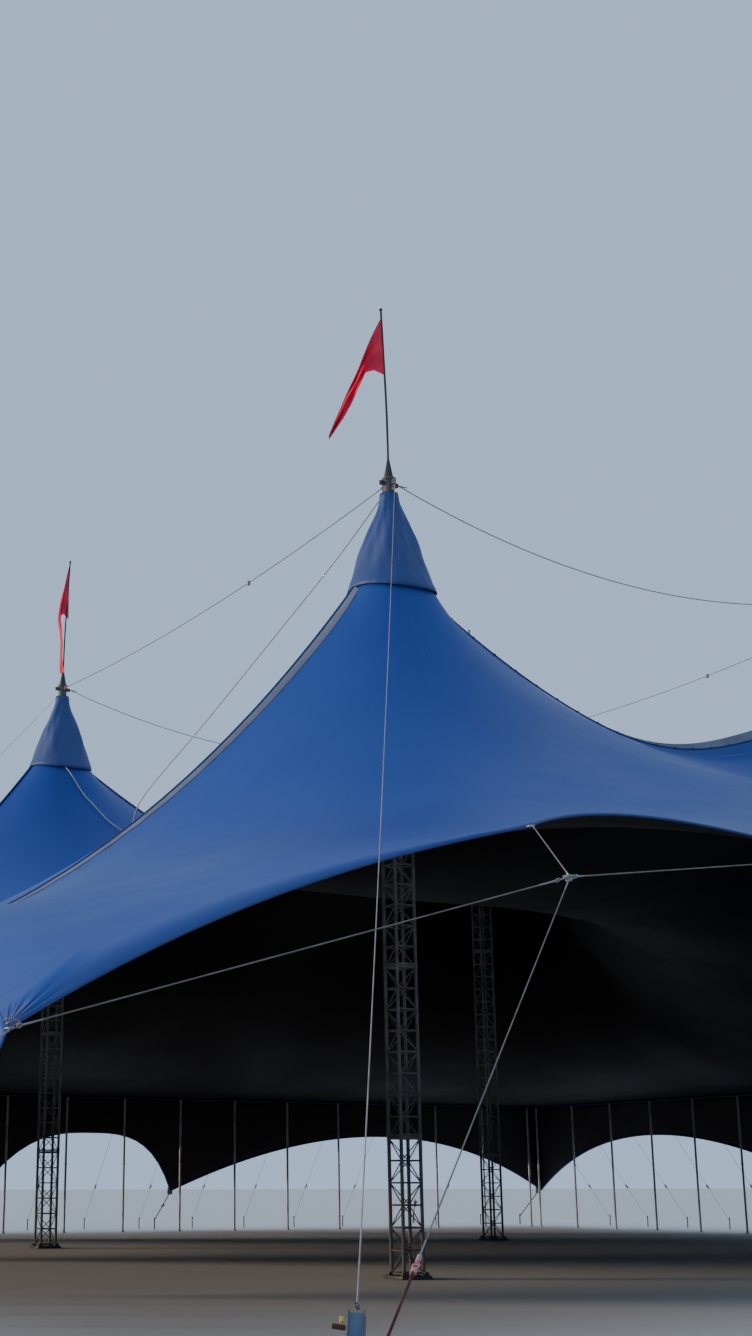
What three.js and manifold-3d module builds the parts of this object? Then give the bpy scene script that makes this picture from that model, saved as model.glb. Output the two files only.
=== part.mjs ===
// A four-mast tensile tent, as a 1:2 scale model: a membrane roof in three laced sections hangs from
// four lattice masts, stands on rows of side poles round three sides and is raised into one wide
// arch across the front. Every length below is in metres of the full-size tent. The root group
// scales them to the model, 500 mm to the metre. +Z is up, the origin is on the ground at the
// centre between the masts, X runs along the front and the front looks towards -Y.
import * as THREE from 'three';
import { mergeVertices } from 'three/addons/utils/BufferGeometryUtils.js';
import Module from 'manifold-3d';

const MODEL_MM_PER_METRE = 500;
const GAP = 0.0006; // 0.3 mm on the model, between pieces that touch

// Plan: mast centres, side-pole lines, and the low points of the scalloped skirt
const MAST_X = 7.0;
const MAST_Y = 8.5;
const EAVE_X = 18.6;
const EAVE_Y = 21.8;
const EAVE_FRONT_Y = -16.8; // the side-pole rows end here, short of the front corners
const SKIRT_X = 20.0;
const SKIRT_Y = 23.3;
const LOW_X = 3.6; // low points along the back
const LOW_Y = 7.4; // low points along each side

// Heights
const EAVE_Z = 4.5;
const LOW_Z = 1.4;
const ARCH_Z = 3.35;
const ROOF_RING_Z = 12.6;
const CROWN_Z = 14.57;
const POLE_TIP_Z = 18.6;

// Membrane
const MEMBRANE = 0.04;
const SKIRT_DROP = 0.1; // height of the skirt's cut edge, which leans steeply
const SKIRT_SAG = 0.06; // how far the skirt's middle row hangs below a straight line
const SKIRT_TIP = [0.14, 0.25]; // the skirt's front tip: out past its line, and down from the corner
const RING_R = 0.8;
const COLLAR_R = 0.74;
const RINGS = 6; // rows of facets from a mast to the edge
const RING_GROWTH = 0.85;

// Front edge, left half: corner plate, two eyes and the middle, with the bends between them
const FRONT_CORNER = [-SKIRT_X, -SKIRT_Y, 2.7];
const FRONT_BEND_1 = [-16.8, -21.2, 4.4];
const FRONT_EYE_1 = [-13.7, -21.3, 5.13];
const FRONT_BEND_2 = [-11.3, -19.75, 6.05];
const FRONT_EYE_2 = [-8.3, -20.35, 5.4];
const FRONT_BEND_3 = [-5.2, -19.2, 6.2];
const FRONT_MIDDLE = [0, -19.2, 6.2];

// The laced seams over the mast lines: the bend of the curve from a mast's ring out to the eave, and
// of the one in to the middle, each as distance from the mast and height
const SEAM_BEND_OUT = [6.13, 5.2];
const SEAM_BEND_IN = [4.5, 10.18];
// How much the membrane hangs between its seams and edges, as weight over tension in 1/m: on the middle
// line, and at the eave. The front section hangs that many times more beside its seam, and not at all
// from FLAT_Y on, where the front edge pulls it flat.
const SAG = [0.07, 0.014];
const FRONT_SAG = 2.7;
const FLAT_Y = 14;

// Masts
const MAST_SIDE = 0.4;
const LEG = 0.055;
const LACE = 0.035;
const MAST_TOP_Z = 13.7;
const FLANGE_Z = [2.4, 5.4, 8.4, 11.4];
const FLANGE_HIGH = 0.08;
const BASE_SIDE = 0.62;
const BASE_Z = 0.06;

// Caps, heads, flags
const CAP_R = 0.84;
const CAP_Z = ROOF_RING_Z + GAP;
const CAP_TOP_R = 0.17;
const CAP_BULGE = [[0.69, 13.1], [0.5, 13.72], [0.26, 14.3]]; // its outline between the two
const CAP_WALL = 0.03;
const SHOE_R = 0.27; // at the corners of its square foot
const SHOE_TOP_R = 0.13;
const COLLAR_PLATE_R = 0.2;
const DRUM_R = 0.16;
const DRUM_TOP_Z = 14.98;
const SPIKE_R = 0.13;
const SPIKE_TOP_R = 0.03;
const SPIKE_TOP_Z = 15.38;
const LUG_R = 0.2; // the middle of a cable lug on the drum
const LUG_LONG = 0.14;
const LUG_THICK = 0.04;
const LUG_Z = DRUM_TOP_Z - 0.12;
const LUG_HIGH = 0.1;
const CLAMP_R = [0.7, 0.78]; // inside and outside of the clamp ring
const CLAMP_HIGH = 0.06;
const CLAMP_ROD_R = 0.02;
const FLAGPOLE_R = 0.022;
const FLAG_TOP_Z = 18.45;
const FLAG_THICK = 0.03;
// A pennant's outline from the top of its hoist: away from the pole, then down
const FLAG_OUTLINE = [[0, 0], [0.35, -0.35], [0.6, -1.0], [0.8, -1.65], [1.1, -2.7], [0.96, -2.6],
  [0.7, -2.1], [0.54, -1.9], [0.42, -1.5], [0.34, -1.3], [0.18, -1.24], [0, -1.35]];

// Poles, guys and ground gear
const POLE = 0.075;
const BELT = 0.05;
const BELT_DEEP = POLE + 0.01;
const POLE_STEP_SIDE = 17;
const POLE_STEP_BACK = 17;
const GUY_R = 0.012;
const GUY_REACH = 3.3;
const STAKE = 0.05;
const STAKE_H = 0.4;
const STAKE_EYE_Z = 0.28; // where a line meets its stake or anchor
const GUY_EYE_Z = 0.3;
const STRAP_EYE_Z = 0.32;
const STRAP_REACH = 1.3; // from a low point of the skirt out to its stake
const STRAP_R = 0.025;
const PLATE = [0.2, 0.1, 0.3]; // low-point plate: along the edge, out from it, and high
const GUY_BELT = [0.05, 0.04]; // deep and high
const CABLE_R = 0.014;
const CLEVIS = 0.08; // end fitting of a guy or a cable
const ROPE_R = 0.015;
const GUY_SAG = 0.3;
const HOIST_R = 0.07;
const HOIST_SPAN = [0.02, 0.047]; // where the lever hoist sits, as shares of the mast guy from its anchor
const TURNBUCKLE_R = 0.04;
const TURNBUCKLE_SPAN = [0.2, 0.25]; // the same for the front guy's turnbuckle
const RING_SIZE = [0.08, 0.05]; // rigging ring: radius and height
const EYE_WIDE = 0.2;
const EYE_DEEP = 0.16;
const EYE_HIGH = 0.12;
const SHACKLE = 0.06;
const FRONT_ANCHOR = [19.75, 27.6];
const BACK_ANCHOR = [17.5, 28.785];
const RING_ANCHOR = [20.64, 28.8];
const RING_EYE = [-15.5, -24.2, 4.02];
const CORNER_STAKE = [-23.4, -25.6];

// Colours and finishes
const steel = new THREE.MeshStandardMaterial({ color: 0x6f7275, roughness: 0.5, metalness: 0.7 });
const wire = new THREE.MeshStandardMaterial({ color: 0x9a9c9e, roughness: 0.6, metalness: 0.4 });
const blue = new THREE.MeshStandardMaterial({ color: 0x1f4f9e, roughness: 0.55, metalness: 0 });
const capBlue = new THREE.MeshStandardMaterial({ color: 0x46639a, roughness: 0.6, metalness: 0 });
const crimson = new THREE.MeshStandardMaterial({ color: 0xc2202c, roughness: 0.8, metalness: 0 });
const rope = new THREE.MeshStandardMaterial({ color: 0xc9c4b8, roughness: 0.9, metalness: 0 });

const wasm = await Module();
wasm.setup();

const vec = (p) => new THREE.Vector3(p[0], p[1], p[2]);
const mirrored = (p, side) => [p[0] * -side, p[1], p[2]];
const bezier = (a, b, c, t) => a.map((_, k) => (1 - t) ** 2 * a[k] + 2 * t * (1 - t) * b[k] + t * t * c[k]);
const between = (a, b, t) => a.map((_, k) => a[k] + (b[k] - a[k]) * t);

// Booleans: a list of closed geometries becomes one closed geometry
function solid(geometry) {
  const plain = geometry.index ? geometry.toNonIndexed() : geometry;
  for (const name of Object.keys(plain.attributes)) {
    if (name !== 'position') plain.deleteAttribute(name);
  }
  const merged = mergeVertices(plain, 1e-6);
  return new wasm.Manifold(new wasm.Mesh({
    numProp: 3,
    vertProperties: new Float32Array(merged.attributes.position.array),
    triVerts: new Uint32Array(merged.index.array),
  }));
}

function geometryOf(manifold) {
  const mesh = manifold.getMesh();
  const geometry = new THREE.BufferGeometry();
  geometry.setAttribute('position', new THREE.BufferAttribute(new Float32Array(mesh.vertProperties), 3));
  geometry.setIndex(new THREE.BufferAttribute(new Uint32Array(mesh.triVerts), 1));
  return geometry;
}

function fuse(geometries) {
  let body = solid(geometries[0]);
  for (const geometry of geometries.slice(1)) body = body.add(solid(geometry));
  return geometryOf(body);
}

// A straight bar of few sides from a to b
function bar(a, b, radius, sides = 4) {
  const start = vec(a);
  const end = vec(b);
  const geometry = new THREE.CylinderGeometry(radius, radius, start.distanceTo(end), sides);
  geometry.rotateY(Math.PI / 4);
  const turn = new THREE.Quaternion().setFromUnitVectors(
    new THREE.Vector3(0, 1, 0), end.clone().sub(start).normalize());
  return geometry.applyQuaternion(turn).translate(...start.add(end).multiplyScalar(0.5).toArray());
}

function box(x, y, z, wide, deep, high) {
  return new THREE.BoxGeometry(wide, deep, high).translate(x, y, z);
}

function upright(radiusBottom, radiusTop, z0, z1, sides) {
  return new THREE.CylinderGeometry(radiusTop, radiusBottom, z1 - z0, sides)
    .rotateX(Math.PI / 2).translate(0, 0, (z0 + z1) / 2);
}

// A path that turns exactly at its own points
class Path extends THREE.Curve {
  constructor(points) {
    super();
    this.points = points.map(vec);
  }

  getPoint(t) {
    const along = Math.min(Math.max(t, 0), 1) * (this.points.length - 1);
    const k = Math.min(Math.floor(along), this.points.length - 2);
    return this.points[k].clone().lerp(this.points[k + 1], along - k);
  }

  getPointAt(u) {
    return this.getPoint(u);
  }

  getTangentAt(u) {
    const near = 0.5 / (this.points.length - 1);
    return this.getPoint(u + near).sub(this.getPoint(u - near)).normalize();
  }
}

function tube(points, radius, sides = 4) {
  const section = new THREE.Shape();
  for (let k = 0; k < sides; k += 1) {
    const angle = ((k + 0.5) / sides) * 2 * Math.PI;
    const p = [radius * Math.cos(angle), radius * Math.sin(angle)];
    if (k === 0) section.moveTo(...p);
    else section.lineTo(...p);
  }
  return new THREE.ExtrudeGeometry(section, { steps: points.length - 1, extrudePath: new Path(points) });
}

function sagging(a, b, sag, steps) {
  return Array.from({ length: steps + 1 }, (_, k) => {
    const t = k / steps;
    const p = between(a, b, t);
    p[2] -= 4 * sag * t * (1 - t);
    return p;
  });
}

const tent = new THREE.Group();
function piece(name, geometry, material, place = [0, 0, 0]) {
  const mesh = new THREE.Mesh(geometry, material);
  mesh.name = name;
  mesh.position.set(...place);
  tent.add(mesh);
  return mesh;
}

// The height of a laced seam at a distance from its mast: a quadratic curve from the ring to its end
function seamHeight(x) {
  const [[bend, bendZ], [end, endZ]] = x < -MAST_X ? [SEAM_BEND_OUT, [EAVE_X - MAST_X, EAVE_Z]]
    : [SEAM_BEND_IN, [MAST_X, SEAM_BEND_IN[1]]];
  const out = Math.abs(x + MAST_X) - RING_R;
  const lead = bend - RING_R;
  const t = out / (lead + Math.sqrt(lead ** 2 + (RING_R - 2 * bend + end) * out));
  return bezier([ROOF_RING_Z], [bendZ], [endZ], t)[0];
}

// The roof's left half as one net of triangles seen from above. Around each mast the net is made of
// rings of facets that widen towards the outline of the mast's own quarter of the tent.
function frontEdge() {
  const points = [];
  for (let k = 0; k < 4; k += 1) points.push(bezier(FRONT_CORNER, FRONT_BEND_1, FRONT_EYE_1, k / 4));
  for (let k = 0; k < 4; k += 1) points.push(bezier(FRONT_EYE_1, FRONT_BEND_2, FRONT_EYE_2, k / 4));
  for (let k = 0; k <= 4; k += 1) points.push(bezier(FRONT_EYE_2, FRONT_BEND_3, FRONT_MIDDLE, k / 4));
  return points;
}

function outlineFront() {
  const points = [];
  const run = (a, b, steps) => {
    for (let k = 0; k < steps; k += 1) points.push(between(a, b, k / steps));
  };
  run([0, -MAST_Y, NaN], [0, 0, NaN], 4);
  run([0, 0, NaN], [-EAVE_X, 0, NaN], 7);
  run([-EAVE_X, 0, EAVE_Z], [-EAVE_X, -MAST_Y, EAVE_Z], 4);
  run([-EAVE_X, -MAST_Y, EAVE_Z], [-EAVE_X, EAVE_FRONT_Y, EAVE_Z], 3);
  run([-EAVE_X, EAVE_FRONT_Y, EAVE_Z], FRONT_CORNER, 3);
  points.push(...frontEdge());
  run([0, FRONT_MIDDLE[1], NaN], [0, -MAST_Y, NaN], 4);
  return points.filter((p, k) => k === 0 || p[0] !== points[k - 1][0] || p[1] !== points[k - 1][1]);
}

function outlineBack() {
  const points = [];
  const run = (a, b, steps) => {
    for (let k = 0; k < steps; k += 1) points.push(between(a, b, k / steps));
  };
  run([0, MAST_Y, NaN], [0, EAVE_Y, NaN], 4);
  run([0, EAVE_Y, EAVE_Z], [-EAVE_X, EAVE_Y, EAVE_Z], 8);
  run([-EAVE_X, EAVE_Y, EAVE_Z], [-EAVE_X, MAST_Y, EAVE_Z], 5);
  run([-EAVE_X, MAST_Y, EAVE_Z], [-EAVE_X, 0, EAVE_Z], 4);
  run([-EAVE_X, 0, NaN], [0, 0, NaN], 7);
  run([0, 0, NaN], [0, MAST_Y, NaN], 4);
  return points;
}

function buildNet() {
  const points = [];
  const fixed = new Map();
  const seen = new Map();
  const triangles = [];
  const add = (x, y, z) => {
    const key = `${x.toFixed(4)} ${y.toFixed(4)}`;
    if (!seen.has(key)) {
      seen.set(key, points.length);
      points.push([x, y, 0]);
    }
    const index = seen.get(key);
    if (!Number.isNaN(z)) fixed.set(index, z);
    return index;
  };
  for (const [mastY, outline] of [[-MAST_Y, outlineFront()], [MAST_Y, outlineBack()]]) {
    const rows = [];
    for (let ring = -1; ring <= RINGS; ring += 1) {
      rows.push(outline.map(([x, y, z]) => {
        if (ring === RINGS) return add(x, y, x === 0 && Math.abs(y) === MAST_Y ? seamHeight(x) : z);
        const reach = Math.hypot(x + MAST_X, y - mastY);
        const r = ring < 0 ? COLLAR_R : RING_R * (reach / RING_R) ** ((ring / RINGS) ** RING_GROWTH);
        const at = [-MAST_X + ((x + MAST_X) / reach) * r, mastY + ((y - mastY) / reach) * r];
        if (ring > 0 && Math.abs(y - mastY) < 1e-6) return add(...at, seamHeight(at[0]));
        return add(...at, ring <= 0 ? ROOF_RING_Z : NaN);
      }));
    }
    for (let i = 0; i < rows.length - 1; i += 1) {
      for (let j = 0; j < outline.length; j += 1) {
        const next = (j + 1) % outline.length;
        triangles.push([rows[i][j], rows[i + 1][j], rows[i + 1][next]]);
        triangles.push([rows[i][j], rows[i + 1][next], rows[i][next]]);
      }
    }
  }
  return { points, fixed, triangles };
}

// The height of a tight membrane settles where every point is the weighted mean of its neighbours,
// the weights being the cotangents of the facets' angles.
function tighten({ points, fixed, triangles }) {
  const neighbours = points.map(() => new Map());
  const carried = points.map(() => 0); // the area of cloth that each point carries
  for (const triangle of triangles) {
    const [p, q, r] = triangle.map((index) => points[index]);
    const area = Math.abs((q[0] - p[0]) * (r[1] - p[1]) - (q[1] - p[1]) * (r[0] - p[0])) / 2;
    for (const index of triangle) carried[index] += area / 3;
    for (let k = 0; k < 3; k += 1) {
      const [i, j, apex] = [triangle[k], triangle[(k + 1) % 3], triangle[(k + 2) % 3]];
      const u = [points[i][0] - points[apex][0], points[i][1] - points[apex][1]];
      const v = [points[j][0] - points[apex][0], points[j][1] - points[apex][1]];
      const weight = (u[0] * v[0] + u[1] * v[1]) / Math.abs(u[0] * v[1] - u[1] * v[0]) / 2;
      neighbours[i].set(j, (neighbours[i].get(j) ?? 0) + weight);
      neighbours[j].set(i, (neighbours[j].get(i) ?? 0) + weight);
    }
  }
  const load = carried.map((area, i) => {
    const [x, y] = points[i];
    const hang = SAG[0] + ((SAG[1] - SAG[0]) * Math.abs(x)) / EAVE_X;
    return area * hang * (y > -MAST_Y ? 1 : FRONT_SAG * Math.max(0, (FLAT_Y + y) / (FLAT_Y - MAST_Y)));
  });
  points.forEach((p, i) => { p[2] = fixed.get(i) ?? EAVE_Z * 2; });
  for (let sweep = 0; sweep < 1500; sweep += 1) {
    points.forEach((p, i) => {
      if (fixed.has(i)) return;
      let sum = 0;
      let total = 0;
      for (const [j, weight] of neighbours[i]) {
        sum += weight * points[j][2];
        total += weight;
      }
      p[2] += 1.6 * ((sum - load[i]) / total - p[2]);
    });
  }
}

// A net of triangles gets a thickness straight down and walls round its free edges
function shell(points, triangles, thickness) {
  const used = [...new Set(triangles.flat())];
  const place = new Map(used.map((index, k) => [index, k]));
  const positions = [];
  for (const drop of [0, thickness]) {
    for (const index of used) positions.push(points[index][0], points[index][1], points[index][2] - drop);
  }
  const count = used.length;
  const faces = [];
  const edges = new Map();
  for (const triangle of triangles) {
    const [a, b, c] = triangle.map((index) => place.get(index));
    faces.push(a, b, c, a + count, c + count, b + count);
    for (const [from, to] of [[a, b], [b, c], [c, a]]) {
      if (edges.has(`${to} ${from}`)) edges.delete(`${to} ${from}`);
      else edges.set(`${from} ${to}`, [from, to]);
    }
  }
  for (const [from, to] of edges.values()) {
    faces.push(from, from + count, to + count, from, to + count, to);
  }
  const geometry = new THREE.BufferGeometry();
  geometry.setAttribute('position', new THREE.BufferAttribute(new Float32Array(positions), 3));
  geometry.setIndex(faces);
  return geometry;
}

// Counter-clockwise from above, so that the top faces look up
function facingUp(points, triangles) {
  return triangles.map(([a, b, c]) => {
    const u = [points[b][0] - points[a][0], points[b][1] - points[a][1]];
    const v = [points[c][0] - points[a][0], points[c][1] - points[a][1]];
    return u[0] * v[1] - u[1] * v[0] > 0 ? [a, b, c] : [a, c, b];
  });
}

// Roof: three sections, laced together over the mast lines, each in a left and a right half
const net = buildNet();
tighten(net);
const SECTIONS = {
  front: (y) => y < -MAST_Y,
  middle: (y) => Math.abs(y) < MAST_Y,
  back: (y) => y > MAST_Y,
};
for (const [section, holds] of Object.entries(SECTIONS)) {
  for (const [side, sign] of [['left', 1], ['right', -1]]) {
    const points = net.points.map(([x, y, z]) => {
      let shiftY = 0;
      if (Math.abs(Math.abs(y) - MAST_Y) < 1e-6) {
        const outward = section === 'middle' ? -1 : 1;
        shiftY = Math.sign(y) * outward * GAP / 2;
      }
      const shiftX = Math.abs(x) < 1e-6 ? -GAP / 2 : 0;
      return [(x + shiftX) * sign, y + shiftY, z];
    });
    const mine = net.triangles.filter((t) => holds((net.points[t[0]][1] + net.points[t[1]][1]
      + net.points[t[2]][1]) / 3));
    piece(`roof_${section}_${side}`, shell(points, facingUp(points, mine), MEMBRANE), blue);
  }
}

// Skirt: from the eave out and down to a scalloped edge. Each side is a run of eave points with an
// edge point for each. An arch hangs between two low points and is flatter on top when it is narrow.
function scallops(lows, heights, steps) {
  const run = [];
  steps.forEach((count, n) => {
    const bend = Math.abs(lows[n + 1] - lows[n]) < 10 ? 3 : 2;
    for (let k = n > 0 ? 1 : 0; k <= count; k += 1) {
      const t = k / count;
      const rise = 1 - Math.abs(2 * t - 1) ** bend;
      const base = heights[n] + (heights[n + 1] - heights[n]) * t;
      const at = lows[n] + (lows[n + 1] - lows[n]) * t;
      run.push({ arch: n, t, rise, at, z: base + (ARCH_Z - base) * rise });
    }
  });
  return run;
}

function strip(upper, lower) {
  const middle = upper.map((p, k) => {
    const m = between(p, lower[k], 0.5);
    return [m[0], m[1], m[2] - SKIRT_SAG];
  });
  const rows = [upper, middle, lower];
  const points = rows.flat();
  const triangles = [];
  const count = upper.length;
  for (let i = 0; i < 2; i += 1) {
    for (let j = 0; j < count - 1; j += 1) {
      const [a, b] = [i * count + j, i * count + j + 1];
      const [c, d] = [a + count, b + count];
      triangles.push([a, c, d], [a, d, b]);
    }
  }
  return { points, triangles };
}

const OUT_AT_ARCH = 0.45;
const outward = (low, rise) => low + (OUT_AT_ARCH - low) * rise;
const backEave = [];
const backEdge = [];
const BACK_STEPS = [10, 6, 10];
const BACK_LOWS = [SKIRT_X, LOW_X, -LOW_X, -SKIRT_X];
for (const { at, rise, z } of scallops(BACK_LOWS, [LOW_Z, LOW_Z, LOW_Z, LOW_Z], BACK_STEPS)) {
  const corner = Math.abs(at) === SKIRT_X ? Math.sign(at) * GAP : 0;
  backEave.push([(at * EAVE_X) / SKIRT_X - corner, EAVE_Y + GAP, EAVE_Z]);
  backEdge.push([at - corner, EAVE_Y + outward(SKIRT_Y - EAVE_Y, rise), z]);
}
const sideEave = [];
const sideEdge = [];
// How far along the last arch the eave ends and the front corner's slope begins
const LAST_POLE_T = 7 / 12;
for (const { arch, t, at, rise, z } of scallops([SKIRT_Y, LOW_Y, -LOW_Y, -SKIRT_Y],
  [LOW_Z, LOW_Z, LOW_Z, FRONT_CORNER[2]], [10, 9, 12])) {
  const back = at === SKIRT_Y ? GAP : 0;
  let top = [-EAVE_X, (at * EAVE_Y) / SKIRT_Y - back, EAVE_Z];
  if (arch === 2) {
    const turn = [-EAVE_X, EAVE_FRONT_Y, EAVE_Z];
    const start = [-EAVE_X, (-LOW_Y * EAVE_Y) / SKIRT_Y, EAVE_Z];
    top = t < LAST_POLE_T ? between(start, turn, t / LAST_POLE_T)
      : between(turn, FRONT_CORNER, (t - LAST_POLE_T) / (1 - LAST_POLE_T));
  }
  const tip = arch === 2 ? Math.max(0, (t - LAST_POLE_T) / (1 - LAST_POLE_T)) : 0;
  const out = outward(SKIRT_X - EAVE_X, rise) + SKIRT_TIP[0] * tip;
  sideEave.push([top[0] - GAP, top[1], top[2]]);
  sideEdge.push([-EAVE_X - out, at - back, z - SKIRT_TIP[1] * tip]);
}
// The back skirt is joined at its two middle low points
let first = 0;
['right', 'middle', 'left'].forEach((side, n) => {
  const last = first + BACK_STEPS[n];
  const cut = (line) => line.slice(first, last + 1).map(([x, y, z], k) => {
    const inward = k === 0 && n > 0 ? -1 : Number(k === last - first && n < 2);
    return [x + (inward * GAP) / 2, y, z];
  });
  const skirt = strip(cut(backEave), cut(backEdge));
  piece(`skirt_back_${side}`, shell(skirt.points, facingUp(skirt.points, skirt.triangles), SKIRT_DROP), blue);
  first = last;
});
for (const [side, sign] of [['left', 1], ['right', -1]]) {
  const skirt = strip(sideEave, sideEdge);
  const points = skirt.points.map(([x, y, z]) => [x * sign, y, z]);
  piece(`skirt_${side}`, shell(points, facingUp(points, skirt.triangles), SKIRT_DROP), blue);
}

// Edge cables: beside the cut edge of the membrane, one gap clear of it, seen in plan as an offset
// line with mitred corners. side is +1 where the outside lies to the left of the run.
function besideEdge(edge, drop, side) {
  const away = edge.slice(1).map((p, k) => {
    const run = new THREE.Vector2(p[0] - edge[k][0], p[1] - edge[k][1]).normalize();
    return new THREE.Vector2(-run.y * side, run.x * side);
  });
  return edge.map(([x, y, z], k) => {
    const before = away[Math.max(k - 1, 0)];
    const after = away[Math.min(k, away.length - 1)];
    const mitre = before.clone().add(after).multiplyScalar((CABLE_R + GAP) / (1 + before.dot(after)));
    return [x + mitre.x, y + mitre.y, z - drop / 2];
  });
}

// A plate in the hem at a low point, with a strap down to a stake outside
function lowPoint([x, y, z], [outX, outY]) {
  const [long, deep, high] = PLATE;
  const foot = [x + outX * STRAP_REACH, y + outY * STRAP_REACH, STRAP_EYE_Z];
  const plate = [x + outX * (deep / 2 + GAP), y + outY * (deep / 2 + GAP), z - high / 5];
  return [
    box(...plate, outX ? deep : long, outY ? deep : long, high),
    bar([plate[0], plate[1], plate[2] - high / 3], foot, STRAP_R),
    box(foot[0], foot[1], STAKE_H / 2, STAKE * 1.6, STAKE * 1.6, STAKE_H),
  ];
}
const backCable = besideEdge(backEdge, SKIRT_DROP, -1);
const [backFirst, backSecond] = [BACK_STEPS[0], BACK_STEPS[0] + BACK_STEPS[1]];
piece('edge_cable_back_middle', fuse([
  tube(backCable.slice(backFirst, backSecond + 1), CABLE_R),
  ...[-LOW_X, LOW_X].flatMap((x) => lowPoint([x, SKIRT_Y, LOW_Z], [0, 1])),
]), wire);
const [beforeLow, atLow] = backCable.slice(backFirst - 1, backFirst + 1);
const FROM_PLATE = 0.3; // a side's cable starts this far from the back corner's plate
const CORNER_PLATE = [SKIRT_X - 0.15, SKIRT_Y - 0.01, LOW_Z];
const CLEAR = CABLE_R * 0.4; // the cable's end is cut square, so it leans toward the plate at its foot
const besidePlate = between(atLow, beforeLow, (PLATE[0] / 2 + CLEAR) / (beforeLow[0] - atLow[0]));
for (const [side, sign] of [['left', -1], ['right', 1]]) {
  const cable = [...backCable.slice(0, backFirst), besidePlate].map(([x, y, z]) => [x * sign, y, z]);
  piece(`edge_cable_back_${side}`, fuse([
    tube(cable, CABLE_R),
    ...lowPoint([CORNER_PLATE[0] * sign, CORNER_PLATE[1], CORNER_PLATE[2]], [0, 1]),
  ]), wire);
}
for (const [side, sign] of [['left', 1], ['right', -1]]) {
  const cable = besideEdge(sideEdge, SKIRT_DROP, -1).map(([x, y, z]) => [x * sign, y, z]);
  cable[0][1] -= FROM_PLATE;
  piece(`edge_cable_${side}`, fuse([
    tube(cable, CABLE_R),
    ...[LOW_Y, -LOW_Y].flatMap((y) => lowPoint([-SKIRT_X * sign, y, LOW_Z], [-sign, 0])),
  ]), wire);
}

// Front: a cable in the raised edge, carried by eyes at the corners and on each side of the arch
const leftEdge = frontEdge();
const wholeEdge = [...leftEdge, ...leftEdge.slice(0, -1).reverse().map((p) => mirrored(p, 1))];
const EDGE_BOW = 0.0056; // how far the edge bows out over half the width of an eye
const EYE_OUT = EYE_DEEP / 2 + EDGE_BOW + GAP;
const eyeAt = ([x, y, z]) => [x, y - EYE_OUT, z - MEMBRANE / 2];
piece('edge_cable_front', fuse([
  tube(besideEdge(wholeEdge, MEMBRANE, -1), CABLE_R),
  ...[FRONT_CORNER, FRONT_EYE_1, FRONT_EYE_2].flatMap((p) => [p, mirrored(p, 1)])
    .map((p) => box(...eyeAt(p), EYE_WIDE, EYE_DEEP, EYE_HIGH)),
]), wire);

// Front rigging: a ring that pulls on the corner and the two eyes, its guy, and the corner's own. Each
// line ends in a shackle that stands against the face of its eye.
for (const [side, sign] of [['left', 1], ['right', -1]]) {
  const ring = mirrored(RING_EYE, -sign);
  const shackle = (p) => {
    const eye = eyeAt(p);
    return [eye[0] * sign, eye[1] - EYE_DEEP / 2 - GAP - SHACKLE / 2, eye[2]];
  };
  const ends = [FRONT_CORNER, FRONT_EYE_1, FRONT_EYE_2].map(shackle);
  const anchor = [-RING_ANCHOR[0] * sign, -RING_ANCHOR[1], STAKE_EYE_Z];
  const stake = [CORNER_STAKE[0] * sign, CORNER_STAKE[1], STAKE_EYE_Z];
  const buckle = TURNBUCKLE_SPAN.map((share) => between(anchor, ring, share));
  piece(`front_rigging_${side}`, fuse([
    upright(RING_SIZE[0], RING_SIZE[0], ring[2] - RING_SIZE[1] / 2, ring[2] + RING_SIZE[1] / 2, 8)
      .translate(ring[0], ring[1], 0),
    ...ends.flatMap((p) => [box(...p, SHACKLE, SHACKLE, SHACKLE), bar(ring, p, GUY_R)]),
    bar(ring, anchor, GUY_R),
    bar(...buckle, TURNBUCKLE_R, 6),
    bar(ends[0], stake, GUY_R),
    box(anchor[0], anchor[1], STAKE_H / 2, STAKE * 1.4, STAKE * 1.4, STAKE_H),
    box(stake[0], stake[1], STAKE_H / 2, STAKE * 1.4, STAKE * 1.4, STAKE_H),
  ]), wire);
}

// Side poles: a row stands under each eave, joined by the belt sewn along it. Outside, a second belt
// carries the guys that lead over the skirt to the stakes.
function poleRow(feet, along) {
  const top = EAVE_Z - MEMBRANE - GAP;
  const [first, last] = [feet[0], feet[feet.length - 1]];
  const middle = between(first, last, 0.5);
  const run = Math.hypot(last[0] - first[0], last[1] - first[1]) + POLE;
  const [wide, deep] = along ? [BELT_DEEP, run] : [run, BELT_DEEP];
  const high = top - BELT / 2; // the poles end in the middle of the belt
  const belt = box(middle[0], middle[1], high, wide, deep, BELT);
  return fuse([belt, ...feet.map((p) => box(p[0], p[1], high / 2, POLE, POLE, high))]);
}
function guyRow(tops, outX, outY, along) {
  const [deep, high] = GUY_BELT;
  const z = EAVE_Z + GAP + high / 2;
  const [first, last] = [tops[0], tops[tops.length - 1]];
  const middle = between(first, last, 0.5);
  const run = Math.hypot(last[0] - first[0], last[1] - first[1]) + 0.1;
  const belt = box(middle[0], middle[1], z, along ? deep : run, along ? run : deep, high);
  const gear = tops.flatMap((p) => {
    const foot = [p[0] + outX * GUY_REACH, p[1] + outY * GUY_REACH, GUY_EYE_Z];
    return [bar([p[0], p[1], z], foot, GUY_R), box(foot[0], foot[1], STAKE_H / 2, STAKE, STAKE, STAKE_H)];
  });
  return fuse([belt, ...gear]);
}
function halves(list) {
  const half = Math.ceil(list.length / 2);
  return [list.slice(0, half), list.slice(half)];
}
const inset = BELT_DEEP / 2;
const outset = GUY_BELT[0] / 2 + 0.001 + GAP; // the outer belt lies clear of the skirt's top
const FROM_CORNER = 0.3; // the first pole stands this far from a corner
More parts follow.
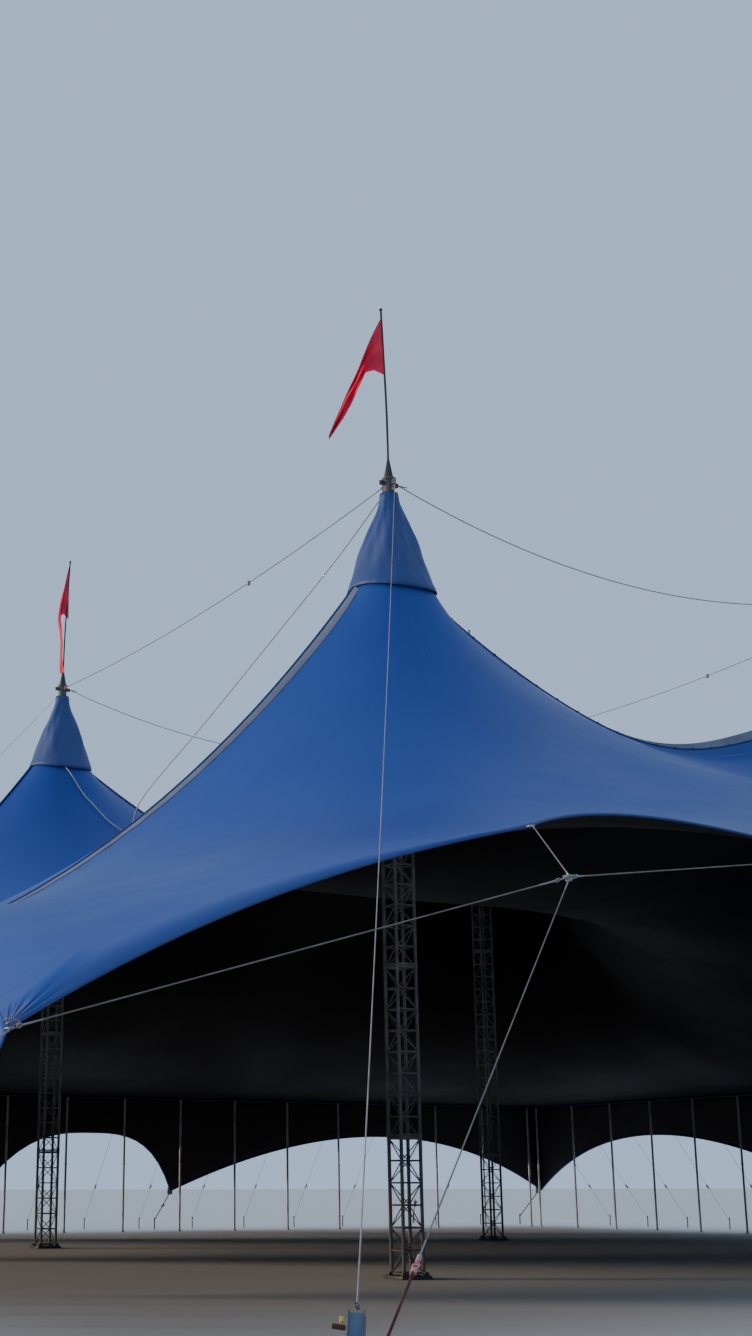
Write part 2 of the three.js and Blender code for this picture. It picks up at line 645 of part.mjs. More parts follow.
const backPoles = Array.from({ length: POLE_STEP_BACK + 1 }, (_, k) =>
  [-EAVE_X + FROM_CORNER + (2 * (EAVE_X - FROM_CORNER) * k) / POLE_STEP_BACK, EAVE_Y]);
halves(backPoles).forEach((feet, n) => {
  const side = ['left', 'right'][n];
  piece(`poles_back_${side}`, poleRow(feet.map(([x, y]) => [x, y - inset]), false), steel);
  piece(`guys_back_${side}`, guyRow(feet.map(([x, y]) => [x, y + outset]), 0, 1, false), wire);
});
const sidePoles = Array.from({ length: POLE_STEP_SIDE + 1 }, (_, k) =>
  [EAVE_X, EAVE_Y - FROM_CORNER - ((EAVE_Y - EAVE_FRONT_Y - 2 * FROM_CORNER) * k) / POLE_STEP_SIDE]);
for (const [side, sign] of [['left', -1], ['right', 1]]) {
  halves(sidePoles).forEach((feet, n) => {
    const end = ['rear', 'fore'][n];
    piece(`poles_${side}_${end}`, poleRow(feet.map(([x, y]) => [(x - inset) * sign, y]), true), steel);
    piece(`guys_${side}_${end}`, guyRow(feet.map(([x, y]) => [(x + outset) * sign, y]), sign, 0, true), wire);
  });
}

// Masts: four legs laced into a square tower, on a base plate, with flanges where its lengths join
function mastGeometry() {
  const half = MAST_SIDE / 2;
  const corners = [[-half, -half], [half, -half], [half, half], [-half, half]];
  const parts = [box(0, 0, BASE_Z / 2, BASE_SIDE, BASE_SIDE, BASE_Z)];
  const levels = [BASE_Z + 0.05, ...FLANGE_Z, MAST_TOP_Z - 0.03];
  const legFoot = BASE_Z / 2;
  const legLong = MAST_TOP_Z - legFoot;
  for (const [x, y] of corners) parts.push(box(x, y, legFoot + legLong / 2, LEG, LEG, legLong));
  levels.forEach((z, level) => {
    for (let k = 0; k < 4; k += 1) {
      const [a, b] = [corners[k], corners[(k + 1) % 4]];
      const high = level > 0 && level < levels.length - 1 ? FLANGE_HIGH : LACE;
      parts.push(box((a[0] + b[0]) / 2, (a[1] + b[1]) / 2, z,
        Math.abs(a[0] - b[0]) + LEG * 0.8, Math.abs(a[1] - b[1]) + LEG * 0.8, high));
      if (level < levels.length - 1) {
        const [from, to] = level % 2 ? [a, b] : [b, a];
        parts.push(bar([...from, z], [...to, levels[level + 1]], LACE / 2));
      }
    }
  });
  return fuse(parts);
}

// Head: a tapered shoe on the mast, a drum with lugs, a spike and the flagpole, and the ring that
// the roof is clamped to, which hangs round the mast on four rods
function headGeometry() {
  const shoe = upright(SHOE_R, SHOE_TOP_R, MAST_TOP_Z + GAP, CROWN_Z, 4).rotateZ(Math.PI / 4);
  const parts = [
    shoe,
    upright(COLLAR_PLATE_R, COLLAR_PLATE_R, CROWN_Z - 0.01, CROWN_Z + 0.04, 12),
    upright(DRUM_R, DRUM_R, CROWN_Z, DRUM_TOP_Z, 32),
    upright(SPIKE_R, SPIKE_TOP_R, DRUM_TOP_Z - 0.01, SPIKE_TOP_Z, 8),
    upright(FLAGPOLE_R, FLAGPOLE_R, SPIKE_TOP_Z - 0.1, POLE_TIP_Z, 12),
  ];
  for (const [x, y] of [[1, 0], [-1, 0], [0, 1], [0, -1]]) {
    parts.push(box(x * LUG_R, y * LUG_R, LUG_Z, x ? LUG_LONG : LUG_THICK, y ? LUG_LONG : LUG_THICK, LUG_HIGH));
  }
  const ringTop = ROOF_RING_Z - MEMBRANE - GAP;
  const [inner, outer] = CLAMP_R;
  const section = [[inner, -CLAMP_HIGH], [outer, -CLAMP_HIGH], [outer, 0], [inner, 0], [inner, -CLAMP_HIGH]];
  parts.push(new THREE.LatheGeometry(section.map(([r, y]) => new THREE.Vector2(r, y)), 20)
    .rotateX(Math.PI / 2).translate(0, 0, ringTop));
  for (const [x, y] of [[1, 0], [-1, 0], [0, 1], [0, -1]]) {
    const foot = inner + CLAMP_ROD_R;
    const top = SHOE_TOP_R - CLAMP_ROD_R;
    const rod = [[x * foot, y * foot, ringTop - CLAMP_HIGH / 2], [x * top, y * top, CROWN_Z - 0.1]];
    parts.push(bar(...rod, CLAMP_ROD_R));
  }
  return fuse(parts);
}

// Cap: a fabric cone from the crown down over the roof's clamp ring
function capGeometry() {
  const bottom = CAP_Z;
  const top = CROWN_Z - 0.01 - GAP;
  const outside = [[CAP_R, bottom], ...CAP_BULGE, [CAP_TOP_R, top]];
  const inside = outside.map(([r, z]) => [r - CAP_WALL, z]).reverse();
  const section = [...outside, ...inside, outside[0]].map(([r, z]) => new THREE.Vector2(r, z));
  return new THREE.LatheGeometry(section, 20).rotateX(Math.PI / 2);
}

// Pennant: flies off the pole to one side and hangs. spread is how far out the wind carries it.
function pennantGeometry(spread, heading) {
  const shape = new THREE.Shape(FLAG_OUTLINE.map(([out, up]) =>
    new THREE.Vector2(FLAGPOLE_R + GAP + out * spread, up)));
  return new THREE.ExtrudeGeometry(shape, { depth: FLAG_THICK, bevelEnabled: false })
    .rotateX(Math.PI / 2).translate(0, FLAG_THICK / 2, FLAG_TOP_Z).rotateZ(heading);
}
const PENNANTS = { // spread and heading on each mast
  front_left: [1, 2.65],
  front_right: [0.85, 2.69],
  back_left: [0.85, 3.88],
  back_right: [0.85, 3.15],
};
const PLACES = {
  front_left: [-MAST_X, -MAST_Y],
  front_right: [MAST_X, -MAST_Y],
  back_left: [-MAST_X, MAST_Y],
  back_right: [MAST_X, MAST_Y],
};
for (const [place, [x, y]] of Object.entries(PLACES)) {
  piece(`mast_${place}`, mastGeometry(), steel, [x, y, 0]);
  piece(`mast_head_${place}`, headGeometry(), steel, [x, y, 0]);
  piece(`cap_${place}`, capGeometry(), capBlue, [x, y, 0]);
  piece(`pennant_${place}`, pennantGeometry(...PENNANTS[place]), crimson, [x, y, 0]);
  const [anchorX, anchorY] = y < 0 ? FRONT_ANCHOR : BACK_ANCHOR;
  const anchor = [Math.sign(x) * anchorX, Math.sign(y) * anchorY, STAKE_EYE_Z];
  const away = new THREE.Vector2(anchor[0] - x, anchor[1] - y).normalize();
  const lugR = DRUM_R + GAP + CLEVIS / 2;
  const lug = [x + away.x * lugR, y + away.y * lugR, DRUM_TOP_Z - 0.2];
  const hoist = HOIST_SPAN.map((share) => between(anchor, lug, share));
  piece(`mast_guy_${place}`, fuse([
    box(0, 0, 0, CLEVIS, CLEVIS * 0.8, 0.12).rotateZ(Math.atan2(away.y, away.x)).translate(...lug),
    tube(sagging(lug, anchor, GUY_SAG, 8), CABLE_R),
    bar(...hoist, HOIST_R, 6),
    box(anchor[0], anchor[1], STAKE_H / 2, 0.1, 0.1, STAKE_H),
  ]), wire);
}

// Cables from mast to mast, with an end fitting against each lug
const SPANS = { // the two masts and the sag
  front: ['front_left', 'front_right', 1.23],
  back: ['back_left', 'back_right', 1.08],
  left: ['front_left', 'back_left', 0.28],
  right: ['front_right', 'back_right', 0.43],
};
for (const [name, [from, to, sag]] of Object.entries(SPANS)) {
  const [a, b] = [PLACES[from], PLACES[to]].map(([x, y]) => new THREE.Vector2(x, y));
  const run = b.clone().sub(a).normalize().multiplyScalar(LUG_R + LUG_LONG / 2 + GAP + CLEVIS / 2);
  const ends = [a.clone().add(run), b.clone().sub(run)].map((p) => [p.x, p.y, LUG_Z]);
  piece(`mast_cable_${name}`, fuse([
    ...ends.map((p) => box(...p, CLEVIS, CLEVIS, CLEVIS)),
    tube(sagging(...ends, sag, 12), CABLE_R),
  ]), wire);
}

// A slack rope tied under a lug of the front left head, hanging to the back left cone and lying up it
function roofHeight(x, y) {
  for (const triangle of net.triangles) {
    const [a, b, c] = triangle.map((index) => net.points[index]);
    const area = (b[0] - a[0]) * (c[1] - a[1]) - (b[1] - a[1]) * (c[0] - a[0]);
    const u = ((x - a[0]) * (c[1] - a[1]) - (y - a[1]) * (c[0] - a[0])) / area;
    const v = ((b[0] - a[0]) * (y - a[1]) - (b[1] - a[1]) * (x - a[0])) / area;
    if (u >= 0 && v >= 0 && u + v <= 1) return a[2] + u * (b[2] - a[2]) + v * (c[2] - a[2]);
  }
  return NaN;
}
const tie = [-MAST_X, -MAST_Y + LUG_R + LUG_LONG / 4, LUG_Z - LUG_HIGH / 2 - GAP];
const landing = [-5.95, 6.05];
const ropeTop = [-7.2, 7.64]; // beside the cap's lower edge
const onCone = Array.from({ length: 19 }, (_, k) => {
  const [x, y] = between(landing, ropeTop, k / 18);
  return [x, y, roofHeight(x, y) + ROPE_R * 3];
});
const hanging = new THREE.CatmullRomCurve3([
  [tie[0], tie[1] + 0.1, tie[2] - 0.16], [-7.0, -6.44, 13.93], [-7.0, -3.68, 12.96], [-7.0, -0.28, 11.79],
  [-6.95, 2.94, 10.81], [-6.5, 4.6, 10.5], onCone[0],
].map(vec)).getSpacedPoints(36).map((p) => p.toArray());
piece('slack_rope', tube([
  tie, [tie[0], tie[1], tie[2] - 0.08], ...hanging, ...onCone.slice(1),
], ROPE_R, 8), rope);

tent.scale.setScalar(MODEL_MM_PER_METRE);
export default tent;
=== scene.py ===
# %% [markdown]
# # A four-mast tensile tent
# A tent of this kind is a coated membrane that hangs from four lattice masts and is pulled down and
# out by side poles, guys and stakes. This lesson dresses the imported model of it: first the camera and
# the one slack rope, then the finishes, the membrane, the steel and the rigging, and last the light.

# %% Load the frame
import math
import bmesh
import bpy
import numpy as np
from mathutils import Matrix, Vector
from mathutils.bvhtree import BVHTree


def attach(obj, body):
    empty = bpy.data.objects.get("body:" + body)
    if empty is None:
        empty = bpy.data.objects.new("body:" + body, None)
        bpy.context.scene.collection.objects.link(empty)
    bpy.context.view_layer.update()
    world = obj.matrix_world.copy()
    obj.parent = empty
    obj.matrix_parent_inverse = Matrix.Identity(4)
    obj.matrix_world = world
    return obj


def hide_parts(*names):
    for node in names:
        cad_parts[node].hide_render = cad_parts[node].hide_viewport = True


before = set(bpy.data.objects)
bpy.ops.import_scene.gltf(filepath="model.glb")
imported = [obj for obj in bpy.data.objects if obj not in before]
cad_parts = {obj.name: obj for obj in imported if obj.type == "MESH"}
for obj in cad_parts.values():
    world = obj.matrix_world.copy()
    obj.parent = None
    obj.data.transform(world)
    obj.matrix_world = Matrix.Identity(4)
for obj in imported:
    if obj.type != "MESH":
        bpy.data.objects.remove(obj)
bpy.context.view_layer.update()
scene = bpy.context.scene

# %% [markdown]
# ## One scale for everything
# The tent is over 40 m across its stakes, so the model is made at 1:2. It is easier to think in the
# sizes of the real tent, so every length below is in metres of the full-size tent, and each finished
# mesh is scaled once, as it is finished. The tent is the same on the left and on the right, so points
# are given for the left half and mirrored for the right one.

# %% Sizes of the tent
M = 0.5  # one metre of the full-size tent, on the model
MAST_X, MAST_Y = 7.0, 8.5
EAVE_X, EAVE_Y, EAVE_FRONT_Y, EAVE_Z = 18.6, 21.8, -16.8, 4.5
RING_R, RING_Z = 0.8, 12.6  # the ring that clamps the roof round a mast
CROWN_Z, DRUM_TOP_Z = 14.57, 14.98
LUG_Z, LUG_OUT = DRUM_TOP_Z - 0.12, 0.235  # where a cable takes hold of a mast head
MASTS = {"front_left": (-1, -1), "front_right": (1, -1), "back_left": (-1, 1), "back_right": (1, 1)}
SIDES = {"left": 1, "right": -1}  # what brings a point of the left half to each side


def up(height):
    return Vector((0, 0, height))


def flipped(p, sign):
    return Vector((p[0] * sign, p[1], p[2]))


print("eave, full size:", 2 * EAVE_X, "m by", EAVE_Y - EAVE_FRONT_Y, "m")

# %% [markdown]
# ## Camera
# The camera stands where the photograph was taken from: at eye height, outside the front left corner,
# looking up. The picture is a crop, so its centre lies to one side of the lens axis, and shift_x
# carries that.

# %% Camera
lens = bpy.data.cameras.new("camera")
lens.lens = 47.16
lens.sensor_width = 36
lens.shift_x = 0.0943
lens.clip_end = 400
camera = bpy.data.objects.new("camera", lens)
camera.location = Vector((-24.54, -35.61, 1.6)) * M
camera.rotation_euler = (math.radians(106.4), 0, math.radians(-28.03))
scene.collection.objects.link(camera)
scene.camera = camera
print("camera:", tuple(round(x, 3) for x in camera.location))

# %% [markdown]
# ## Lines to follow
# Ropes, cables and profiles all follow a line of points. A few knots are smoothed into many points at
# even steps, and a curve with a round bevel, the natural form of a rope, gives such a line its body.

# %% Line helpers
BETWEEN = 40  # points between two knots, before they are evened out


def distances(points):
    """How far along the line each of its points lies."""
    return np.concatenate([[0], np.cumsum([(b - a).length for a, b in zip(points, points[1:])])])


def smooth_line(knots, count):
    """A smooth line through the knots, as points at even steps along it."""
    line = [Vector(k) for k in knots]
    ends = [line[0] * 2 - line[1]] + line + [line[-1] * 2 - line[-2]]
    fine = []
    for k in range(len(line) - 1):
        a, b, c, d = ends[k:k + 4]
        for n in range(BETWEEN):
            t = n / BETWEEN
            fine.append(0.5 * ((2 * b) + (c - a) * t + (2 * a - 5 * b + 4 * c - d) * t ** 2
                               + (3 * b - a - 3 * c + d) * t ** 3))
    fine.append(line[-1])
    run = distances(fine)
    at = np.linspace(0, run[-1], count + 1)
    columns = [np.interp(at, run, [p[k] for p in fine]) for k in range(3)]
    return [Vector(p) for p in np.stack(columns, 1)]


def round_curve(name, points, radius):
    """A curve through the points, with a round section."""
    curve = bpy.data.curves.new(name, "CURVE")
    curve.dimensions = "3D"
    curve.bevel_depth = radius
    curve.bevel_resolution = 2
    curve.use_fill_caps = True
    spline = curve.splines.new("POLY")
    spline.points.add(len(points) - 1)
    for point, p in zip(spline.points, points):
        point.co = (*p, 1)
    return curve


# %% [markdown]
# ## The slack rope
# A halyard is tied under a lug of the front left head. It hangs free to the cone behind and lies up it
# to the cap. Its free part is drawn through a few knots that sag as the real one does. The part that
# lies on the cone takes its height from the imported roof, by looking straight down at it.

# %% Slack rope
ROPE_R = 0.015
CONE_STEPS = 12  # of the part that lies on the cone
roof_nodes = [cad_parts[f"roof_{part}_{side}"] for part in ("front", "middle", "back")
              for side in SIDES]


def packed_roof_height(x, y):
    looks = [node.ray_cast(Vector((x * M, y * M, 20)), up(-1)) for node in roof_nodes]
    return max(spot.z for hit, spot, _, _ in looks if hit) / M


tie = Vector((-MAST_X, -MAST_Y + LUG_OUT, LUG_Z - 0.0506))
on_cone = []
for k in range(CONE_STEPS + 1):
    x, y = -5.95 - 1.25 * k / CONE_STEPS, 6.05 + 1.59 * k / CONE_STEPS
    on_cone.append(Vector((x, y, packed_roof_height(x, y) + ROPE_R * 2.5)))
hanging = smooth_line([tie + Vector((0, 0.1, -0.16)), (-7.0, -6.44, 13.93), (-7.0, -3.68, 12.96),
                       (-7.0, -0.28, 11.79), (-6.95, 2.94, 10.81), (-6.5, 4.6, 10.5), on_cone[0]], 22)
rope_points = [tie, tie + up(-0.04), tie + Vector((0, 0.01, -0.09))] + hanging + on_cone[1:]
slack_halyard = bpy.data.objects.new(
    "slack_halyard", round_curve("slack_halyard", [p * M for p in rope_points], ROPE_R * M))
scene.collection.objects.link(slack_halyard)
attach(slack_halyard, "root")
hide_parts("slack_rope")
print("rope points:", len(rope_points), "length:", round(distances(rope_points)[-1] * M, 3))

# %% [markdown]
# ## Making materials
# Each finish is a small network of nodes. These helpers put one node down, set its values and link
# what it is given, which keeps each recipe short enough to read. An effect that several finishes
# share goes into a group, which is built once and placed in each of them.

# %% Node helpers
def plug(tree, socket, value):
    """Links an output to this input, or sets the input to a constant."""
    if isinstance(value, bpy.types.NodeSocket):
        tree.links.new(value, socket)
    else:
        socket.default_value = value


def put(tree, kind, inputs, **settings):
    """A new node with these settings; its inputs go by name or by number."""
    node = tree.nodes.new(kind)
    for name, value in settings.items():
        setattr(node, name, value)
    for name, value in inputs.items():
        plug(tree, node.inputs[name], value)
    return node


def maths(tree, operation, *values):
    return put(tree, "ShaderNodeMath", dict(enumerate(values)), operation=operation).outputs[0]


def rise(tree, value, low, high, kind="SMOOTHSTEP"):
    """0 where the value is low, 1 where it is high, and smooth between."""
    return put(tree, "ShaderNodeMapRange", {"Value": value, "From Min": low, "From Max": high},
               interpolation_type=kind).outputs["Result"]


def group(name, inputs, outputs):
    """A new group. Its inputs are vectors, where the value is None, or numbers with that default."""
    tree = bpy.data.node_groups.new(name, "ShaderNodeTree")
    for label, value in inputs.items():
        kind = "NodeSocketVector" if value is None else "NodeSocketFloat"
        socket = tree.interface.new_socket(label, in_out="INPUT", socket_type=kind)
        if value is not None:
            socket.default_value = value
    for label in outputs:
        tree.interface.new_socket(label, in_out="OUTPUT", socket_type="NodeSocketFloat")
    return tree, tree.nodes.new("NodeGroupInput").outputs, tree.nodes.new("NodeGroupOutput").inputs


def use(tree, name, inputs):
    return put(tree, "ShaderNodeGroup", inputs, node_tree=bpy.data.node_groups[name]).outputs


# %% [markdown]
# ## Weathering
# Nothing that lives outdoors is one even colour. This group gives a soft mask: large clouds broken by
# smaller ones. Each finish uses it at its own scale for dust, fading or rust.

# %% Weathering group
tree, given, out = group("weathering", {"Vector": None, "Scale": 1.0, "Low": 0.4, "High": 0.7}, ["Mask"])
clouds = put(tree, "ShaderNodeTexNoise", {"Vector": given["Vector"], "Scale": given["Scale"],
                                          "Detail": 6.0, "Roughness": 0.6})
tree.links.new(rise(tree, clouds.outputs["Fac"], given["Low"], given["High"]), out["Mask"])
print(tree.name, "nodes:", len(tree.nodes))

# %% [markdown]
# ## Panel seams
# A big membrane is welded from long panels, and each weld shows as a narrow double line. The pattern
# follows the cloth, so it reads the mesh's own UV map: U grows by two from one weld to the next, and V
# runs from the mast out.

# %% Panel seam group
tree, given, out = group("panel_seams", {"UV": None, "Width": 0.02}, ["Line", "Height"])
parts = put(tree, "ShaderNodeSeparateXYZ", {"Vector": given["UV"]}).outputs
from_weld = maths(tree, "PINGPONG", parts["X"], 1.0)
line = rise(tree, from_weld, given["Width"], maths(tree, "MULTIPLY", given["Width"], 0.55))
groove = rise(tree, from_weld, 0.0, given["Width"])
tree.links.new(line, out["Line"])
tree.links.new(maths(tree, "MULTIPLY", line, groove), out["Height"])
print(tree.name, "nodes:", len(tree.nodes))

# %% [markdown]
# ## Fan creases
# Where a sheet is pulled at one point, it creases in a fan that fades with distance. The group reads
# the direction and the distance from that point and makes ridges that spread out from it.

# %% Fan crease group
tree, given, out = group("fan_creases", {"Vector": None, "Centre": None, "Reach": 1.5, "Folds": 20.0},
                         ["Height"])
away = put(tree, "ShaderNodeVectorMath", {0: given["Vector"], 1: given["Centre"]},
           operation="SUBTRACT").outputs[0]
reach = put(tree, "ShaderNodeVectorMath", {0: away}, operation="LENGTH").outputs["Value"]
parts = put(tree, "ShaderNodeSeparateXYZ", {"Vector": away}).outputs
turns = maths(tree, "MULTIPLY", maths(tree, "ARCTAN2", parts["Y"], parts["X"]), given["Folds"])
ridge = put(tree, "ShaderNodeTexNoise", {"W": turns, "Scale": 1.0, "Detail": 1.5},
            noise_dimensions="1D").outputs["Fac"]
fade = rise(tree, reach, given["Reach"], 0.0, "SMOOTHERSTEP")
tree.links.new(maths(tree, "MULTIPLY", ridge, fade), out["Height"])
print(tree.name, "nodes:", len(tree.nodes))

# %% [markdown]
# ## The line of the front edge
# The front edge hangs between a corner, two eyes and the middle of the arch. Between two of them it
# is drawn as a curve that leaves each end towards one bend point, which takes few numbers and never
# kinks. The creases of the membrane, its outline and the edge's cable all need this line.

# %% Front edge line
FRONT_CORNER, FRONT_EYE_1 = Vector((-20.0, -23.3, 2.7)), Vector((-13.7, -21.3, 5.13))
FRONT_EYE_2, FRONT_MIDDLE = Vector((-8.3, -20.35, 5.4)), Vector((0.0, -19.2, 6.2))
FRONT_BENDS = [(FRONT_CORNER, Vector((-16.8, -21.2, 4.4)), FRONT_EYE_1),
               (FRONT_EYE_1, Vector((-11.3, -19.75, 6.05)), FRONT_EYE_2),
               (FRONT_EYE_2, Vector((-5.2, -19.2, 6.2)), FRONT_MIDDLE)]


def curve_point(a, b, c, t):
    """A point of the curve that leaves a towards b and comes to c from b."""
    return a * (1 - t) ** 2 + b * (2 * t * (1 - t)) + c * t * t


def front_edge(steps):
    """The left half of the front edge, from the corner over both eyes to the middle."""
    return [curve_point(*bend, k / steps) for bend in FRONT_BENDS for k in range(steps)] + [FRONT_MIDDLE]


print("half the front edge, full size:", round(distances(front_edge(16))[-1], 2), "m")

# %% [markdown]
# ## Coated membrane
# The outside is a blue plastic coating, a little dusty, paler where dust and sun have been at it. The
# inside is a black-out layer, nearly black with a warm tint. Both share the seams, because a weld
# shows on both faces. The creases at the corners and eyes are too fine for the mesh, so they are
# relief in the material.

# %% Membrane materials
WELD = 0.018  # half the width of a weld, where a panel is 2 wide
BLUE, PALE_BLUE, WELD_BLUE = (0.0025, 0.038, 0.25, 1), (0.014, 0.062, 0.30, 1), (0.002, 0.02, 0.13, 1)
BLACK, PALE_BLACK = (0.006, 0.0025, 0.005, 1), (0.010, 0.0045, 0.007, 1)
WELD_BLACK = (0.003, 0.0015, 0.003, 1)


def start(name, **sockets):
    """A new material with its Principled shader. Constants are set on the shader's own sockets."""
    material = bpy.data.materials.new(name)
    material.use_nodes = True
    tree = material.node_tree
    shader = tree.nodes["Principled BSDF"]
    for label, value in sockets.items():
        shader.inputs[label.replace("_", " ")].default_value = value
    return material, tree, shader, put(tree, "ShaderNodeTexCoord", {}).outputs


def mixed(tree, mask, first, second):
    """The first colour where the mask is 0, and the second where it is 1."""
    return put(tree, "ShaderNodeMix", {0: mask, 6: first, 7: second}, data_type="RGBA").outputs[2]


def roughened(tree, shader, mask, smooth, rough):
    """Makes the finish rougher where the mask is high."""
    between = put(tree, "ShaderNodeMapRange", {"Value": mask, "To Min": smooth, "To Max": rough})
    tree.links.new(between.outputs["Result"], shader.inputs["Roughness"])


def coated(name, deep, faded, seam, roughness, creases=(), **sockets):
    """A coating that fades in clouds and streaks, with welds, and a fan of creases at each centre."""
    material, tree, shader, at = start(name, Roughness=roughness, **sockets)
    spot, cloth = at["Object"], at["UV"]
    fading = use(tree, "weathering", {"Vector": spot, "Scale": 0.35, "Low": 0.35, "High": 0.7})["Mask"]
    long_way = put(tree, "ShaderNodeMapping", {"Vector": cloth, "Scale": (4.0, 2.5, 1.0)}).outputs[0]
    streaks = use(tree, "weathering", {"Vector": long_way, "Scale": 1.6, "Low": 0.5, "High": 0.75})["Mask"]
    welds = use(tree, "panel_seams", {"UV": cloth, "Width": WELD})
    colour = mixed(tree, fading, deep, faded)
    colour = mixed(tree, maths(tree, "MULTIPLY", streaks, 0.25), colour, faded)
    colour = mixed(tree, maths(tree, "MULTIPLY", welds["Line"], 0.12), colour, seam)
    tree.links.new(colour, shader.inputs["Base Color"])
    roughened(tree, shader, fading, roughness - 0.06, roughness + 0.1)
    slack = put(tree, "ShaderNodeTexNoise", {"Vector": spot, "Scale": 0.9, "Detail": 2.0}).outputs["Fac"]
    relief = maths(tree, "MULTIPLY", welds["Height"], 0.0015)
    relief = maths(tree, "ADD", relief, maths(tree, "MULTIPLY", slack, 0.02))
    for centre, reach, folds, depth in creases:
        fan = use(tree, "fan_creases", {"Vector": spot, "Centre": centre, "Reach": reach, "Folds": folds})
        relief = maths(tree, "ADD", relief, maths(tree, "MULTIPLY", fan["Height"], depth))
    bump = put(tree, "ShaderNodeBump", {"Height": relief, "Strength": 1.0, "Distance": 1.0})
    tree.links.new(bump.outputs["Normal"], shader.inputs["Normal"])
    return material


# Each fan: its centre, how far it reaches, how many folds it has, and how deep they are, on the model.
fans = [(tuple(flipped(FRONT_CORNER, sign) * M), 0.8, 8.0, 0.042) for sign in SIDES.values()]
fans += [(tuple(flipped(eye, sign) * M), 0.3, 8.0, 0.012) for eye in (FRONT_EYE_1, FRONT_EYE_2)
         for sign in SIDES.values()]
membrane_outside = coated("membrane_outside", BLUE, PALE_BLUE, WELD_BLUE, 0.5, fans, Specular_IOR_Level=0.35)
membrane_inside = coated("membrane_inside", BLACK, PALE_BLACK, WELD_BLACK, 0.65, Specular_IOR_Level=0.25)
skirt_outside = coated("skirt_outside", BLUE, PALE_BLUE, WELD_BLUE, 0.5)
print("membrane materials:", len(bpy.data.materials), "fans of creases:", len(fans))

# %% [markdown]
# ## Steel, rope and the rest
# Galvanised steel is a mottled light grey, darker and rougher where it has been handled. Wire rope is
# greyer still. The small gear has its own paint. All are two colours in clouds with a fine grain, so
# one recipe makes them. The masts' steel also gets painted shade, a darker third colour near the ground.

# %% Other materials
PAINTED_SHADE_TOP, PAINTED_SHADE_FULL = 3.0, 0.6  # painted shade on a mast begins this high, and is full from here down


def plain(name, colour, other, roughness, metallic=0.0, scale=6.0, bump=0.002, painted_shade=None):
    """Two colours in clouds. A third, darker one near the ground is painted shade."""
    material, tree, shader, at = start(name, Metallic=metallic, Roughness=roughness)
    wear = use(tree, "weathering", {"Vector": at["Object"], "Scale": scale, "Low": 0.35, "High": 0.7})["Mask"]
    result = mixed(tree, wear, (*colour, 1), (*other, 1))
    if painted_shade:
        # painted shade: the colour turns darker towards the ground
        height = put(tree, "ShaderNodeSeparateXYZ", {"Vector": at["Object"]}).outputs["Z"]
        result = mixed(tree, rise(tree, height, PAINTED_SHADE_TOP, PAINTED_SHADE_FULL), result, (*painted_shade, 1))
    tree.links.new(result, shader.inputs["Base Color"])
    roughened(tree, shader, wear, roughness - 0.08, roughness + 0.12)
    grain = put(tree, "ShaderNodeTexNoise", {"Vector": at["Object"], "Scale": scale * 12, "Detail": 3.0})
    relief = put(tree, "ShaderNodeBump", {"Height": grain.outputs["Fac"], "Distance": bump, "Strength": 0.6})
    tree.links.new(relief.outputs["Normal"], shader.inputs["Normal"])
    return material


GREY, DULL_GREY = (0.34, 0.33, 0.33), (0.20, 0.195, 0.20)
zinc = plain("galvanised_steel", GREY, DULL_GREY, 0.55, metallic=0.3, scale=5.0)
# the masts' steel, with painted shade on its lower part
mast_zinc = plain("mast_steel", GREY, DULL_GREY, 0.55, metallic=0.3, scale=5.0, painted_shade=(0.085, 0.08, 0.08))
dark_steel = plain("dark_steel", (0.035, 0.035, 0.038), (0.06, 0.05, 0.045), 0.55, metallic=0.4)
worn_steel = plain("worn_fittings", (0.07, 0.065, 0.065), (0.13, 0.11, 0.10), 0.6, metallic=0.3, scale=14.0)
bright_steel = plain("bright_shackle", (0.29, 0.27, 0.29), (0.20, 0.19, 0.20), 0.4, metallic=0.5, scale=12.0)
wire_grey = plain("wire_rope", (0.21, 0.175, 0.17), (0.14, 0.12, 0.115), 0.6, metallic=0.3, scale=9.0)
guy_line = plain("guy_line", (0.36, 0.29, 0.30), (0.24, 0.19, 0.20), 0.7, scale=9.0)
rope_fibre = plain("rope_fibre", (0.55, 0.53, 0.48), (0.40, 0.38, 0.34), 0.85, scale=20.0)
trim = plain("lacing_trim", (0.16, 0.17, 0.25), (0.10, 0.115, 0.18), 0.6, scale=1.5, bump=0.004)
cap_cloth = plain("cap_cloth", (0.012, 0.045, 0.19), (0.035, 0.065, 0.20), 0.6, scale=1.2, bump=0.003)
pennant_cloth = plain("pennant_cloth", (0.90, 0.025, 0.065), (0.72, 0.02, 0.06), 0.75, scale=3.0)
hem_blue = plain("hem_blue", (0.008, 0.03, 0.13), (0.012, 0.045, 0.18), 0.6, scale=2.0)
strap_red = plain("webbing_red", (0.10, 0.018, 0.012), (0.06, 0.014, 0.010), 0.85, scale=10.0)
tape_pink = plain("taped_shackle", (0.50, 0.30, 0.32), (0.42, 0.08, 0.10), 0.6, scale=30.0)
gear_blue = plain("gear_blue", (0.03, 0.085, 0.17), (0.07, 0.11, 0.17), 0.5, metallic=0.1)
tag_yellow = plain("tag_yellow", (0.75, 0.48, 0.05), (0.6, 0.4, 0.06), 0.6)
slack_halyard.data.materials.append(rope_fibre)
print("materials:", len(bpy.data.materials))

# %% [markdown]
# ## Finishing a piece
# Every piece ends in the same way: its open ends are closed and its faces turned outwards, it is
# scaled to the model, gets its materials, and the imported nodes that it stands for are hidden. Sheets
# stay open, and a modifier gives them their thickness, so that the mesh stays easy to shape.

# %% Finishing helpers
COATING = 0.008  # thickness of the membrane on the model, far more than the real one, so that it shows


